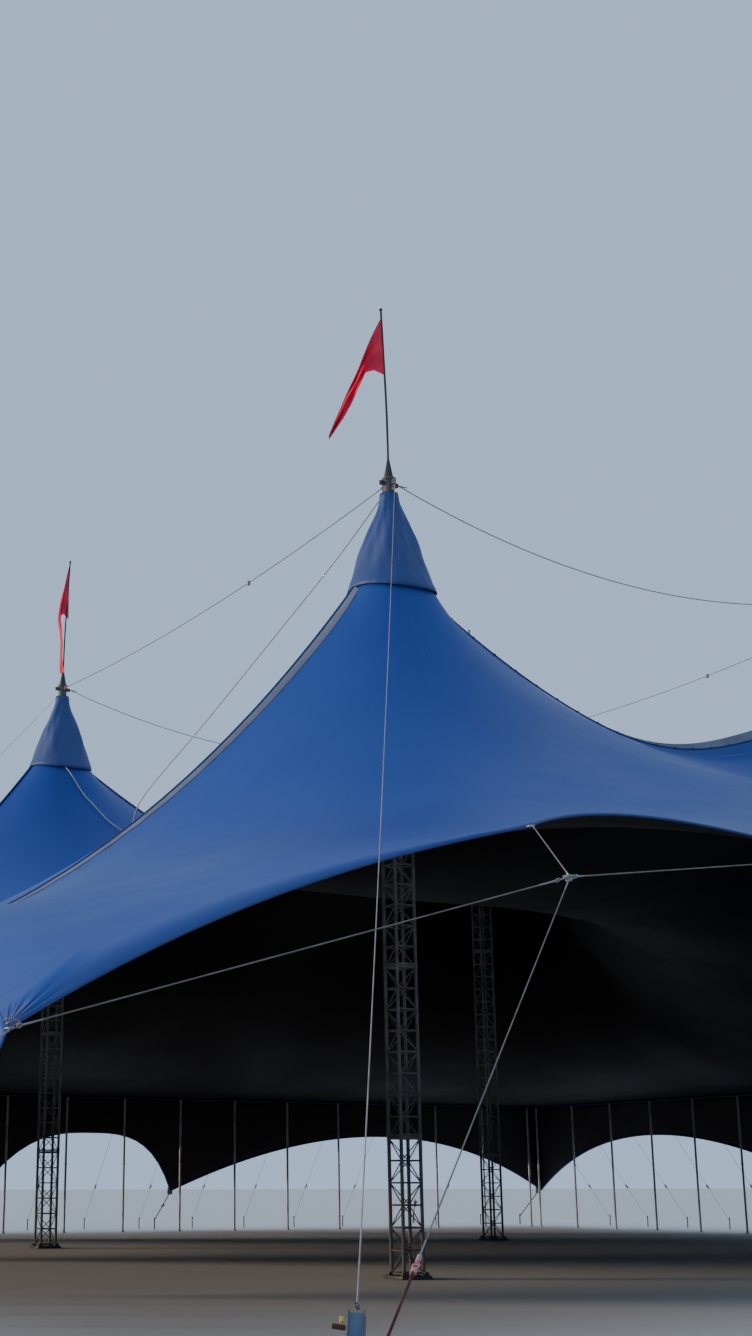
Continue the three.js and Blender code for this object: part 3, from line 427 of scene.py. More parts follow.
def closed(bm, faces):
    """Fills the open ends of these faces' bars and pipes, and turns them outwards."""
    ends = list(dict.fromkeys(e for f in faces for e in f.edges if e.is_boundary))
    lids = bmesh.ops.holes_fill(bm, edges=ends, sides=0)["faces"] if ends else []
    for lid in lids:
        lid.material_index = next(f for f in lid.edges[0].link_faces if f != lid).material_index
    bmesh.ops.recalc_face_normals(bm, faces=[*faces, *lids])


def finished(name, bm, materials, nodes=(), solid=True, sharp=35):
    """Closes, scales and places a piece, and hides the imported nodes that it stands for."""
    if solid:
        closed(bm, bm.faces[:])
    bmesh.ops.scale(bm, vec=(M, M, M), verts=bm.verts)
    mesh = bpy.data.meshes.new(name)
    bm.to_mesh(mesh)
    bm.free()
    mesh.shade_smooth()
    mesh.set_sharp_from_angle(angle=math.radians(sharp))
    for material in materials:
        mesh.materials.append(material)
    obj = bpy.data.objects.new(name, mesh)
    scene.collection.objects.link(obj)
    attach(obj, "root")
    if nodes:
        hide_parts(*nodes)
    print(f"{name}: {len(mesh.polygons)} faces")
    return obj


def thicken(obj, thickness, lining=0):
    """Gives a sheet its thickness, inwards. The lining is the step to the material of the inner face."""
    wall = obj.modifiers.new("thickness", "SOLIDIFY")
    wall.thickness = thickness
    wall.offset = -1
    wall.material_offset = lining


def cloth_area(obj):
    return sum(p.area for p in obj.data.polygons)


# %% [markdown]
# ## The roof's outline
# The roof is one membrane. Seen from above, each mast holds a quarter of it. The quarter's outline
# runs along the two lines of symmetry, the eave and, at the front, the curved edge of the arch. Only
# two quarters are made, and mirrored. A number after x and y is the height that a point is held at.

# %% Outlines of the quarters
FREE = -1.0  # the height of a point that nothing holds
FINE = 4  # points to each step
CENTRE = (0, 0, FREE)
eave = [(-EAVE_X, y, EAVE_Z) for y in (EAVE_Y, MAST_Y, 0, -MAST_Y, EAVE_FRONT_Y)]


def straight(a, b, steps):
    """The points from a on towards b, without b."""
    count = steps * FINE
    return [tuple(p + (q - p) * (k / count) for p, q in zip(a, b)) for k in range(count)]


front = straight((0, -MAST_Y, FREE), CENTRE, 4) + straight(CENTRE, (-EAVE_X, 0, FREE), 7)
front += straight(eave[2], eave[3], 4) + straight(eave[3], eave[4], 3) + straight(eave[4], FRONT_CORNER, 3)
front += [tuple(p) for p in front_edge(4 * FINE)]
front += straight((0, FRONT_MIDDLE.y, FREE), (0, -MAST_Y, FREE), 4)[1:]
back = straight((0, MAST_Y, FREE), (0, EAVE_Y, FREE), 4) + straight((0, EAVE_Y, EAVE_Z), eave[0], 8)
back += straight(eave[0], eave[1], 5) + straight(eave[1], eave[2], 4)
back += straight((-EAVE_X, 0, FREE), CENTRE, 7) + straight(CENTRE, (0, MAST_Y, FREE), 4)
print("outline points:", len(front), len(back))

# %% [markdown]
# ## The net
# A grid is made for each quarter, with one column for each outline point. Its bottom row is drawn in
# to the mast's ring and its top row out to the outline, so the grid becomes a net of rings and rays.
# The ring, the eave, the front edge and the laced seams are held at their heights.

# %% Roof net
RINGS, GROWTH = 24, 0.85  # rings from the mast out, and how fast they grow wider apart
COLLAR_R = 0.74  # the inner rim of the membrane, and the clamp ring's own tube
PANEL = 2.2  # width of a panel at the outline
SEAM_BEND_OUT, SEAM_BEND_IN = (6.13, 5.2), (4.5, 10.18)  # from the mast to the seam's bend, and its height


def seam_height(x):
    """The height of a laced seam in the left half, from a ring out to the eave or in to the middle."""
    if x < -MAST_X:
        (bend, bend_z), (end, end_z) = SEAM_BEND_OUT, (EAVE_X - MAST_X, EAVE_Z)
    else:
        (bend, bend_z), (end, end_z) = SEAM_BEND_IN, (MAST_X, SEAM_BEND_IN[1])
    out, lead = abs(x + MAST_X) - RING_R, bend - RING_R
    t = out / (lead + math.sqrt(lead ** 2 + (RING_R - 2 * bend + end) * out))
    return curve_point(RING_Z, bend_z, end_z, t)


def grid(bm, columns, rows):
    """A flat grid to be shaped: each vertex with its column and its row."""
    made = bmesh.ops.create_grid(bm, x_segments=columns, y_segments=rows, size=1)["verts"]
    return {v: (round((v.co.x + 1) / 2 * columns), round((v.co.y + 1) / 2 * rows)) for v in made}


def quarter(bm, outline, mast_y, held, uv):
    n = len(outline)
    steps = [math.dist(outline[k][:2], outline[(k + 1) % n][:2]) for k in range(n)]
    arc = np.concatenate([[0], np.cumsum(steps)])
    panels = 2 * round(arc[-1] / PANEL / 2)
    arc *= panels / arc[-1] * 2
    cells = grid(bm, n, RINGS + 1)
    for v, (column, row) in cells.items():
        for loop in v.link_loops:
            loop[uv].uv = (arc[column], max(row - 1, 0) / RINGS)
        x, y, z = outline[column % n]
        ring = row - 1
        reach = math.hypot(x + MAST_X, y - mast_y)
        r = COLLAR_R if ring < 0 else RING_R * (reach / RING_R) ** ((ring / RINGS) ** GROWTH)
        v.co = (-MAST_X + (x + MAST_X) / reach * r, mast_y + (y - mast_y) / reach * r, 0)
        on_seam = abs(abs(v.co.y) - MAST_Y) < 1e-5 and (ring < RINGS or x == 0)
        if ring <= 0:
            v[held] = RING_Z
        elif on_seam:
            v[held] = seam_height(v.co.x)
        else:
            v[held] = z if ring == RINGS else FREE


roof_bm = bmesh.new()
held = roof_bm.verts.layers.float.new("held")
uv = roof_bm.loops.layers.uv.new("UVMap")
quarter(roof_bm, front, -MAST_Y, held, uv)
quarter(roof_bm, back, MAST_Y, held, uv)
bmesh.ops.remove_doubles(roof_bm, verts=roof_bm.verts, dist=0.002)
print("net:", len(roof_bm.verts), "points")

# %% [markdown]
# ## Tension
# In a tight sheet each point settles at the weighted mean of its neighbours, a little lower for the
# weight of the cloth it carries. The whole net is then one set of linear equations, which a few
# hundred rounds of the conjugate gradient method solve.

# %% Solve for the heights
SAG = (0.07, 0.014)  # weight over tension in 1/m, on the middle line and at the eave
FRONT_SAG, FLAT_Y = 2.7, 14.0  # times as much beside the front seam, and nothing from here on
MOST_ROUNDS, CLOSE_ENOUGH = 900, 1e-7


def tighten(bm, held):
    """Moves every free point to its height in the tight sheet."""
    bm.verts.index_update()
    place = np.array([v.co[:2] for v in bm.verts])
    z = np.array([v[held] for v in bm.verts])
    free = z < 0
    z[free] = 0
    count = len(z)
    corners = np.array([[loop.vert.index for loop in tri] for tri in bm.calc_loop_triangles()])
    orders = ((0, 1, 2), (1, 2, 0), (2, 0, 1))
    i, j, apex = (np.concatenate([corners[:, k] for k in order]) for order in orders)
    u, v = place[i] - place[apex], place[j] - place[apex]
    weight = (u * v).sum(1) / np.maximum(np.abs(u[:, 0] * v[:, 1] - u[:, 1] * v[:, 0]), 1e-9) / 2
    sides = place[corners[:, 1:]] - place[corners[:, :1]]
    carried = np.abs(sides[:, 0, 0] * sides[:, 1, 1] - sides[:, 0, 1] * sides[:, 1, 0]) / 6
    carried = np.bincount(corners.ravel(), np.repeat(carried, 3), count)
    near_front = FRONT_SAG * np.maximum(0, (FLAT_Y + place[:, 1]) / (FLAT_Y - MAST_Y))
    load = carried * (SAG[0] + (SAG[1] - SAG[0]) * np.abs(place[:, 0]) / EAVE_X)
    load *= np.where(place[:, 1] > -MAST_Y, 1, near_front)

    def pull(h):
        d = weight * (h[i] - h[j])
        return np.where(free, np.bincount(i, d, count) - np.bincount(j, d, count), 0)

    scale = np.bincount(i, weight, count) + np.bincount(j, weight, count)
    scale = np.where(free, scale, 1)
    left = -pull(z) - np.where(free, load, 0)
    step = left / scale
    size = left @ step
    for rounds in range(MOST_ROUNDS):
        answer = pull(step)
        pace = size / (step @ answer)
        z += pace * step
        left -= pace * answer
        if np.abs(left).max() < CLOSE_ENOUGH:
            break
        before, size = size, left @ (left / scale)
        step = left / scale + size / before * step
    for vert, height in zip(bm.verts, z):
        vert.co.z = height
    return rounds


def face_up(faces):
    """Turns the faces of a sheet so that all of them look up."""
    for face in faces:
        face.normal_update()
        if face.normal.z < 0:
            face.normal_flip()


rounds = tighten(roof_bm, held)
face_up(roof_bm.faces)
bmesh.ops.mirror(roof_bm, geom=roof_bm.verts[:] + roof_bm.edges[:] + roof_bm.faces[:],
                 matrix=Matrix.Identity(4), axis="X", merge_dist=0.001)
face_up(roof_bm.faces)
roof_tree = BVHTree.FromBMesh(roof_bm)


def on_roof(x, y, lift=0.0):
    """The spot on the roof's surface, or above it, straight over x and y."""
    spot = roof_tree.ray_cast(Vector((x, y, 30)), up(-1))[0]
    return Vector((x, y, (spot.z if spot else EAVE_Z) + lift))


print("rounds:", rounds, "height in the middle:", round(on_roof(0, 0).z, 3))

# %% [markdown]
# ## Roof membrane
# The solved net is the cloth itself. It is kept as one thin sheet with a wall from a modifier, blue
# outside and black inside. The membrane is stretched, so its flat size is that of its surface.

# %% Roof piece
roof = finished("roof_membrane", roof_bm, [membrane_outside, membrane_inside],
                [n.name for n in roof_nodes], solid=False, sharp=60)
thicken(roof, COATING, 1)
print("roof area:", round(cloth_area(roof), 2))

# %% [markdown]
# ## Skirts
# Below the eave a band of the same membrane runs out and down to a scalloped edge. Each arch hangs
# between two low points that are strapped to the ground. A grid with one column for each step along
# the eave is moved into place row by row.

# %% Skirt helpers
SKIRT_X, SKIRT_Y, LOW_X, LOW_Y, LOW_Z, ARCH_Z = 20.0, 23.3, 3.6, 7.4, 1.4, 3.35
OUT_AT_ARCH, OUT_BACK, OUT_SIDE = 0.45, 1.5, 1.4  # out from the eave, at an arch and at the low points
SKIRT_ROWS, SKIRT_SAG = 8, 0.24
CUT = 0.1  # the height of the cut edge


def scallop_line(lows, heights, steps):
    """Steps along the arches: the arch, how far along it, the place, and how far up and at what height."""
    line = []
    for n, count in enumerate(steps):
        bend = 3 if abs(lows[n + 1] - lows[n]) < 10 else 2
        for k in range(1 if n else 0, count + 1):
            t = k / count
            lifted = 1 - abs(2 * t - 1) ** bend
            base = heights[n] + (heights[n + 1] - heights[n]) * t
            spot = lows[n] + (lows[n + 1] - lows[n]) * t
            line.append((n, t, spot, lifted, base + (ARCH_Z - base) * lifted))
    return line


def skirt(name, tops, lows, nodes):
    """A band of membrane between its upper and its lower line."""
    bm = bmesh.new()
    uv = bm.loops.layers.uv.new("UVMap")
    run = distances(tops)
    cells = grid(bm, len(tops) - 1, SKIRT_ROWS)
    for v, (column, row) in cells.items():
        t = row / SKIRT_ROWS
        for loop in v.link_loops:
            loop[uv].uv = (run[column] / PANEL, t)
        v.co = tops[column].lerp(lows[column], t) - up(SKIRT_SAG * t * (1 - t))
    bm.normal_update()
    if sum(f.normal.z for f in bm.faces) < 0:
        bmesh.ops.reverse_faces(bm, faces=bm.faces)
    obj = finished(name, bm, [skirt_outside, membrane_inside], nodes, solid=False, sharp=60)
    thicken(obj, COATING, 1)
    print(name, "area:", round(cloth_area(obj), 2), "run:", round(run[-1] * M, 2))
    return obj


# %% [markdown]
# ## Where the skirts hang
# The back skirt has three arches from corner to corner. Each side skirt has three as well, and its
# last one follows the eave to the last pole and then runs down to the front corner, with its tip drawn
# a little out and down by the corner's guy.

# %% Skirts
POLES_END = 7 / 12  # how far along the last arch the poles end and the front corner's slope begins
TIP_OUT, TIP_DOWN = 0.14, 0.2
back_tops, back_lows = [], []
for _, _, at, lifted, z in scallop_line([SKIRT_X, LOW_X, -LOW_X, -SKIRT_X], [LOW_Z] * 4, [40, 20, 40]):
    back_tops.append(Vector((at * EAVE_X / SKIRT_X, EAVE_Y, EAVE_Z)))
    back_lows.append(Vector((at, EAVE_Y + OUT_BACK + (OUT_AT_ARCH - OUT_BACK) * lifted, z - CUT / 2)))
side_tops, side_lows = [], []
for n, t, at, lifted, z in scallop_line([SKIRT_Y, LOW_Y, -LOW_Y, -SKIRT_Y],
                                        [LOW_Z] * 3 + [FRONT_CORNER.z], [36, 34, 48]):
    top, tip = Vector((-EAVE_X, at * EAVE_Y / SKIRT_Y, EAVE_Z)), 0
    if n == 2:
        last_low = Vector((-EAVE_X, -LOW_Y * EAVE_Y / SKIRT_Y, EAVE_Z))
        last_pole = Vector((-EAVE_X, EAVE_FRONT_Y, EAVE_Z))
        tip = max(0, (t - POLES_END) / (1 - POLES_END))
        top = last_low.lerp(last_pole, t / POLES_END) if t < POLES_END else last_pole.lerp(FRONT_CORNER, tip)
    out = OUT_SIDE + (OUT_AT_ARCH - OUT_SIDE) * lifted + TIP_OUT * tip
    side_tops.append(top)
    side_lows.append(Vector((-EAVE_X - out, at, z - CUT / 2 - TIP_DOWN * tip)))
back_skirt = skirt("skirt_membrane_back", back_tops, back_lows,
                   ["skirt_back_left", "skirt_back_middle", "skirt_back_right"])
for side, sign in SIDES.items():
    side_skirt = skirt(f"skirt_membrane_{side}", [flipped(p, sign) for p in side_tops],
                       [flipped(p, sign) for p in side_lows], [f"skirt_{side}"])

# %% [markdown]
# ## Caps
# A fabric cone covers the gap between the clamp ring and the crown. It is drawn in at the top and
# bottom with a cord, so it puckers, and its hem droops a little over the roof's front and back slopes.
# A profile is spun round the mast, and each point is then moved in or out to make the folds.

# %% Caps
CAP_LINE = [(0.85, 0, RING_Z - 0.03), (0.83, 0, RING_Z + 0.06), (0.70, 0, 13.08), (0.53, 0, 13.58),
            (0.34, 0, 14.06), (0.22, 0, 14.40), (0.185, 0, 14.64)]
CAP_FOLDS = [(0.028, 4, 3, 0), (0.018, 9, -7, 1), (0.008, 17, 11, 0)]  # depth, number, twist, and start
HEM_DROOP, HEM_RISE = 0.10, 0.12  # how far the hem hangs out, and up to what part of the cap's height
CAP_CLOTH = 0.004


def cap(name, x, y, phase):
    bm = bmesh.new()
    line = [bm.verts.new(p) for p in smooth_line(CAP_LINE, 26)]
    edges = [bm.edges.new(pair) for pair in zip(line, line[1:])]
    bmesh.ops.spin(bm, geom=line + edges, cent=(0, 0, 0), axis=(0, 0, 1), angle=2 * math.pi, steps=72,
                   use_merge=True)
    for v in bm.verts:
        turn, t = math.atan2(v.co.y, v.co.x), (v.co.z - RING_Z) / (CROWN_Z - RING_Z)
        droop = HEM_DROOP * math.sin(turn) ** 2 * max(0, 1 - max(t, 0) / HEM_RISE)
        if droop > 0:
            v.co.x, v.co.y = v.co.x + droop * math.cos(turn), v.co.y + droop * math.sin(turn)
            v.co.z = max(v.co.z - 1.5 * droop, on_roof(x + v.co.x, y + v.co.y, 0.025).z)
        turn += phase
        body = math.sin(math.pi * min(max(t, 0), 1)) ** 0.7
        fold = sum(depth * math.sin(number * turn + twist * t + begin)
                   for depth, number, twist, begin in CAP_FOLDS)
        pucker = 0.008 * math.sin(26 * turn) * math.exp(-((t - 0.03) / 0.06) ** 2)
        grow = 1 + (fold * body + pucker - 0.012 * body) / max(math.hypot(v.co.x, v.co.y), 0.1)
        v.co = (v.co.x * grow + x, v.co.y * grow + y, v.co.z)
    bmesh.ops.recalc_face_normals(bm, faces=bm.faces)
    if sum(f.normal.x * (f.calc_center_median().x - x) for f in bm.faces) < 0:
        bmesh.ops.reverse_faces(bm, faces=bm.faces)
    obj = finished(name, bm, [cap_cloth], [name.replace("cap_cone", "cap")],
                   solid=False, sharp=60)
    thicken(obj, CAP_CLOTH)
    print(name, "area:", round(cloth_area(obj), 3))


for number, (place, (sx, sy)) in enumerate(MASTS.items()):
    cap(f"cap_cone_{place}", sx * MAST_X, sy * MAST_Y, 0.6 + 1.7 * number)

# %% [markdown]
# ## Hoops and pipes
# A bent bar or an eye is a small circle spun round a centre, the whole way or for an arc. A cord or a
# cable that follows a line is what a curve's round bevel does best, so it is made as a curve and taken
# into the mesh. Each part is painted as it is made, by walking over all the faces joined to it: its
# paint is the place of its material in the list that the piece is finished with.

# %% Hoop and pipe helpers
def painted(verts, paint):
    """Paints every face of the part that these new vertices belong to."""
    seen, rim = set(verts), list(verts)
    while rim:
        for face in rim.pop().link_faces:
            face.material_index = paint
            fresh = [v for v in face.verts if v not in seen]
            seen.update(fresh)
            rim += fresh


def edges_of(verts):
    """Their edges, each once and always in the same order."""
    return list(dict.fromkeys(e for v in verts for e in v.link_edges))


def facing(way):
    """The turn that brings the Z axis onto this direction."""
    return way.to_track_quat("Z", "Y").to_matrix().to_4x4()


def hoop(bm, centre, axis, radius, thick, steps=16, sides=6, arc=2 * math.pi, toward=None, paint=0):
    """A bar bent round an axis. An arc is less than a whole turn, with its middle toward a direction."""
    centre, axis = Vector(centre), Vector(axis).normalized()
    out = Vector(toward) if toward is not None else axis.orthogonal()
    out = (out - axis * out.dot(axis)).normalized()
    whole = arc >= 2 * math.pi
    if not whole:
        out = Matrix.Rotation(-arc / 2, 3, axis) @ out
    place = Matrix.Translation(centre + out * radius) @ facing(axis.cross(out))
    made = bmesh.ops.create_circle(bm, segments=sides, radius=thick, matrix=place)["verts"]
    edges = edges_of(made)
    last = bmesh.ops.spin(bm, geom=made + edges, cent=centre, axis=axis, angle=arc, steps=steps,
                          use_merge=whole)["geom_last"]
    painted([v for v in made + last if v.is_valid and isinstance(v, bmesh.types.BMVert)], paint)


def pipe(bm, points, radius, paint=0):
    """A round section along a line of points. Its ends are closed with the piece."""
    curve = round_curve("line", points, radius)
    curve.use_fill_caps = False
    holder = bpy.data.objects.new("line", curve)
    mesh = bpy.data.meshes.new_from_object(holder)
    mesh.polygons.foreach_set("material_index", [paint] * len(mesh.polygons))
    bm.from_mesh(mesh)
    bpy.data.objects.remove(holder)
    bpy.data.curves.remove(curve)
    bpy.data.meshes.remove(mesh)


# %% [markdown]
# ## Lacing flaps
# The roof comes in three sections that are laced together along the mast lines. A dark cord runs along
# the lacing, with a loop every half metre. Outside the masts a light flap lies beside it on the outer
# section, and between the masts the flap stands up along it. A narrow grid laid on the roof makes it.

# %% Lacing flaps
# The rows of a flap: across the seam, and up from the roof.
LYING = [(-0.17, 0.01), (-0.11, 0.03), (-0.04, 0.042), (0.01, 0.035)]
STANDING = [(-0.16, 0.005), (-0.07, 0.03), (-0.045, 0.045), (0.0, 0.06)]
RISEN = [0.0, 0.18, 0.26, 0.34]  # how much more the standing flap rises where the lacing is loose
FLAP_STEP, LOOP_STEP = 0.25, 0.5
CORD_PAINT = 2


def lacing(name, y, sign):
    bm = bmesh.new()
    near = RING_R + 0.05
    for x0, x1 in ((-EAVE_X + 0.05, -MAST_X - near), (-MAST_X + near, MAST_X - near),
                   (MAST_X + near, EAVE_X - 0.05)):
        stands = abs(x0 + x1) < 1
        rows, laced, cord_r = (STANDING, 1, 0.014) if stands else (LYING, 3, 0.02)

        def spot(x, row):
            across, lift = rows[row]
            if stands:
                t = min(max((x + 2) / 4.5, 0), 1) * min(1, (x1 - x) / 1.5)
                lift += RISEN[row] * t * t * (3 - 2 * t)
            return on_roof(x, y + across * sign, lift)

        count = round((x1 - x0) / FLAP_STEP)
        cells = grid(bm, count, 3)
        for v, (column, row) in cells.items():
            v.co = spot(x0 + (x1 - x0) * column / count, row)
            if stands and row == 0:
                for face in v.link_faces:
                    face.material_index = 1
        face_up(dict.fromkeys(f for v in cells for f in v.link_faces))
        cord = [spot(x0 + (x1 - x0) * k / count, laced) + up(0.012) for k in range(count + 1)]
        pipe(bm, cord, cord_r, paint=CORD_PAINT)
        for k in range(1, round((x1 - x0) / LOOP_STEP)):
            hoop(bm, spot(x0 + k * LOOP_STEP, laced), (1, 0, 0), 0.035, 0.008, steps=6, sides=4,
                 arc=math.pi, toward=(0, 0, 1), paint=CORD_PAINT)
    closed(bm, [f for f in bm.faces if f.material_index == CORD_PAINT])
    finished(name, bm, [trim, skirt_outside, hem_blue], solid=False, sharp=45)


lacing("lacing_front", -MAST_Y, 1)
lacing("lacing_back", MAST_Y, -1)

# %% [markdown]
# ## Rods and blocks
# The rest of the steel is round bar and plate. Two operators make them: a cone between two points,
# which with equal ends is a rod, and a cube stretched to a block with its edges bevelled.

# %% Rod and block helpers
def rod(bm, a, b, r, sides=8, end=None, paint=0):
    """A round bar from a to b. With an end radius it tapers."""
    a, b = Vector(a), Vector(b)
    made = bmesh.ops.create_cone(bm, cap_ends=True, segments=sides, radius1=r,
                                 radius2=r if end is None else end, depth=(b - a).length,
                                 matrix=Matrix.Translation((a + b) / 2) @ facing(b - a))["verts"]
    painted(made, paint)


def block(bm, centre, size, turn=None, bevel=0.0, paint=0):
    place = Matrix.Translation(centre) @ (turn or Matrix.Identity(4)) @ Matrix.Diagonal((*size, 1))
    made = bmesh.ops.create_cube(bm, size=1, matrix=place)["verts"]
    painted(made, paint)
    if bevel:
        bmesh.ops.bevel(bm, geom=edges_of(made), offset=bevel, affect="EDGES", segments=2, profile=0.5,
                        material=-1)


# %% [markdown]
# ## Masts
# A king mast is a square tower of four tubes, laced on every face with a rung and a diagonal in each
# bay. It comes in lengths that bolt together at flanges. One mast is built at the origin and copied.

# %% One mast
MAST_HALF, LEG_R, RUNG_R, BRACE_R = 0.2, 0.033, 0.015, 0.0105  # half the mast's width, and the bars
MAST_TOP_Z, FIRST_RUNG_Z, BAYS = 13.7, 0.1, 36
FLANGES = (2.4, 5.4, 8.4, 11.4)


def mast():
    bm = bmesh.new()
    corners = [Vector((x * MAST_HALF, y * MAST_HALF, 0)) for x, y in ((-1, -1), (1, -1), (1, 1), (-1, 1))]
    mast_sides = list(zip(corners, corners[1:] + corners[:1]))
    block(bm, up(0.03), (0.62, 0.62, 0.06), bevel=0.006, paint=1)
    for c in corners:
        rod(bm, c + up(0.06), c + up(MAST_TOP_Z), LEG_R, 10)
        block(bm, c * 1.12 + up(0.089), (0.09, 0.09, 0.06), bevel=0.004, paint=1)
        rod(bm, c * 1.3 + up(0.058), c * 1.3 + up(0.1), 0.016, 6, paint=1)
    high = (MAST_TOP_Z - 0.15) / BAYS
    for k, (a, b) in enumerate(mast_sides):
        for bay in range(BAYS + 1):
            z = up(FIRST_RUNG_Z + bay * high)
            rod(bm, a + z, b + z, RUNG_R, 6)
            if bay < BAYS:
                first, last = (a, b) if (bay + k) % 2 else (b, a)
                rod(bm, first + z, last + z + up(high), BRACE_R, 6)
    for z in FLANGES:
        for a, b in mast_sides:
            size = (abs(b.x - a.x) + 0.05, abs(b.y - a.y) + 0.05, 0.03)
            for lift in (-0.022, 0.022):
                block(bm, (a + b) / 2 + up(z + lift), size, bevel=0.003)
        for c in corners:
            rod(bm, c + up(z - 0.06), c + up(z + 0.06), 0.04, 8)
    bmesh.ops.recalc_face_normals(bm, faces=bm.faces)
    return bm


once = mast()
for place, (sx, sy) in MASTS.items():
    bm = once.copy()
    bmesh.ops.translate(bm, vec=(sx * MAST_X, sy * MAST_Y, 0), verts=bm.verts)
    finished(f"king_mast_{place}", bm, [mast_zinc, dark_steel], [f"mast_{place}"],
             solid=False)
once.free()

# %% [markdown]
# ## Mast heads
# On top of the mast sits a drum with a lug for every cable, a spike and the flagpole. The roof's clamp
# ring hangs round the mast on four rods, under the cap. A bow shackle holds each cable to its lug.

# %% Mast heads
SPIKE_TOP_Z, POLE_TIP_Z = 15.38, 18.7
GUY_LUG_DROP = 0.13  # the fifth lug, for the long guy, sits this much lower


def shackle(bm, at, pull, size, paint=0):
    """A bow shackle: the bow points along pull, and the pin crosses its feet."""
    at, pull = Vector(at), Vector(pull).normalized()
    side = pull.cross(up(1))
    side = side.normalized() if side.length > 0.1 else Vector((1, 0, 0))
    hoop(bm, at, pull.cross(side), size * 0.5, size * 0.13, steps=10, arc=1.25 * math.pi, toward=pull,
         paint=paint)
    foot = at - pull * size * 0.42
    rod(bm, foot - side * size * 0.62, foot + side * size * 0.62, size * 0.13, 6, paint=paint)


def head(name, x, y, guy_side, lean, node):
    bm = bmesh.new()
    rod(bm, up(MAST_TOP_Z + 0.005), up(CROWN_Z), 0.27, 4, end=0.14)
    for low, high, r in ((CROWN_Z - 0.01, CROWN_Z + 0.04, 0.17), (CROWN_Z, DRUM_TOP_Z, 0.115),
                         (DRUM_TOP_Z - 0.05, DRUM_TOP_Z, 0.135)):
        rod(bm, up(low), up(high), r, 20, paint=2)
    rod(bm, up(DRUM_TOP_Z - 0.01), up(SPIKE_TOP_Z), 0.1, 16, end=0.026, paint=1)
    flagpole = smooth_line([(0, 0, SPIKE_TOP_Z - 0.1), (-0.12 * lean, 0, 16.4), (-0.55 * lean, 0.01, 17.6),
                            (-lean, 0.02, POLE_TIP_Z)], 10)
    pipe(bm, flagpole, 0.022, paint=1)
    hoop(bm, flagpole[-1] - up(0.03), (0, 0, 1), 0.03, 0.012, steps=8, paint=1)
    for wx, wy, drop in ((1, 0, 0), (-1, 0, 0), (0, 1, 0), (0, -1, 0), (0, guy_side, GUY_LUG_DROP)):
        way, z = Vector((wx, wy, 0)), up(LUG_Z - drop)
        long = 0.15 if wy else 0.12
        turn = Matrix.Rotation(math.atan2(wy, wx), 4, "Z")
        block(bm, way * (0.1 + long / 2) + z, (long, 0.03, 0.1), turn, bevel=0.008, paint=2)
        shackle(bm, way * (0.05 + long) + z, way, 0.06, paint=2)
    hoop(bm, up(RING_Z - 0.075), (0, 0, 1), COLLAR_R, 0.04, steps=40, sides=8)
    for way in (Vector((1, 0, 0)), Vector((-1, 0, 0)), Vector((0, 1, 0)), Vector((0, -1, 0))):
        rod(bm, way * 0.715 + up(RING_Z - 0.09), way * 0.1 + up(CROWN_Z - 0.1), 0.02, 8)
    bmesh.ops.translate(bm, vec=(x, y, 0), verts=bm.verts)
    finished(name, bm, [zinc, dark_steel, worn_steel], [node])


print("flagpole above the drum, full size:", round(POLE_TIP_Z - DRUM_TOP_Z, 2), "m")

# %% [markdown]
# ## Pennants
# Each flagpole carries a long triangular flag. Its cloth is thin, so it ripples and droops to its
# tail. A grid is bent between the flag's upper and lower edge, and waves run along it. Each mast gets
# its head and its flag together, because the flag hangs where the flagpole leans.

# %% Pennants
UPPER = [(-0.03, 0), (0.22, -0.55), (0.48, -1.2), (0.76, -1.85), (1.1, -2.7)]  # out from the pole, and up
LOWER = [(-0.06, -1.38), (0.16, -1.26), (0.34, -1.32), (0.45, -1.6), (0.6, -1.95), (0.8, -2.3), (1.09, -2.71)]
FLAG_TOP_Z, FLAG_COLUMNS, FLAG_ROWS = 18.57, 36, 12
# How far each flagpole leans, and its flag's spread, drop, heading and curl.
LEANS = {"front_left": 0.08, "front_right": 0.08, "back_left": -0.12, "back_right": 0.05}
FLAGS = {"front_left": (1, 1, 2.65, 0), "front_right": (0.85, 1, 2.69, 0),
         "back_left": (0.95, 1.2, 3.4, 0.92), "back_right": (0.85, 1, 3.15, 0.2)}


def along(line, t):
    k = min(int(t * (len(line) - 1)), len(line) - 2)
    s = t * (len(line) - 1) - k
    return tuple(a + (b - a) * s for a, b in zip(line[k], line[k + 1]))


def pennant(name, x, y, lean, spread, drop, heading, curl, node):
    bm = bmesh.new()
    for v, (column, row) in grid(bm, FLAG_COLUMNS, FLAG_ROWS).items():
        s, t = column / FLAG_COLUMNS, row / FLAG_ROWS
        (u0, z0), (u1, z1) = along(UPPER, s), along(LOWER, s)
        out, down = u0 + (u1 - u0) * t, z0 + (z1 - z0) * t
        wave = 0.08 * s ** 0.6 * math.sin(9 * s + 2.5 * t) + 0.03 * s * math.sin(21 * s - 4 * t)
        wave += 0.05 * min(1, 4 * s) * math.sin(13 * t + 4 * s)
        v.co = (0.022 + out * spread * (1 - curl * s), wave, FLAG_TOP_Z + down * drop)
    bmesh.ops.smooth_vert(bm, verts=bm.verts, factor=0.3, use_axis_x=True, use_axis_y=True, use_axis_z=True)
    bmesh.ops.rotate(bm, cent=(0, 0, 0), matrix=Matrix.Rotation(heading, 3, "Z"), verts=bm.verts)
    bmesh.ops.translate(bm, vec=(x - 0.75 * lean, y + 0.01, 0), verts=bm.verts)
    obj = finished(name, bm, [pennant_cloth], [node], solid=False, sharp=80)
    print(name, "area:", round(cloth_area(obj), 3))


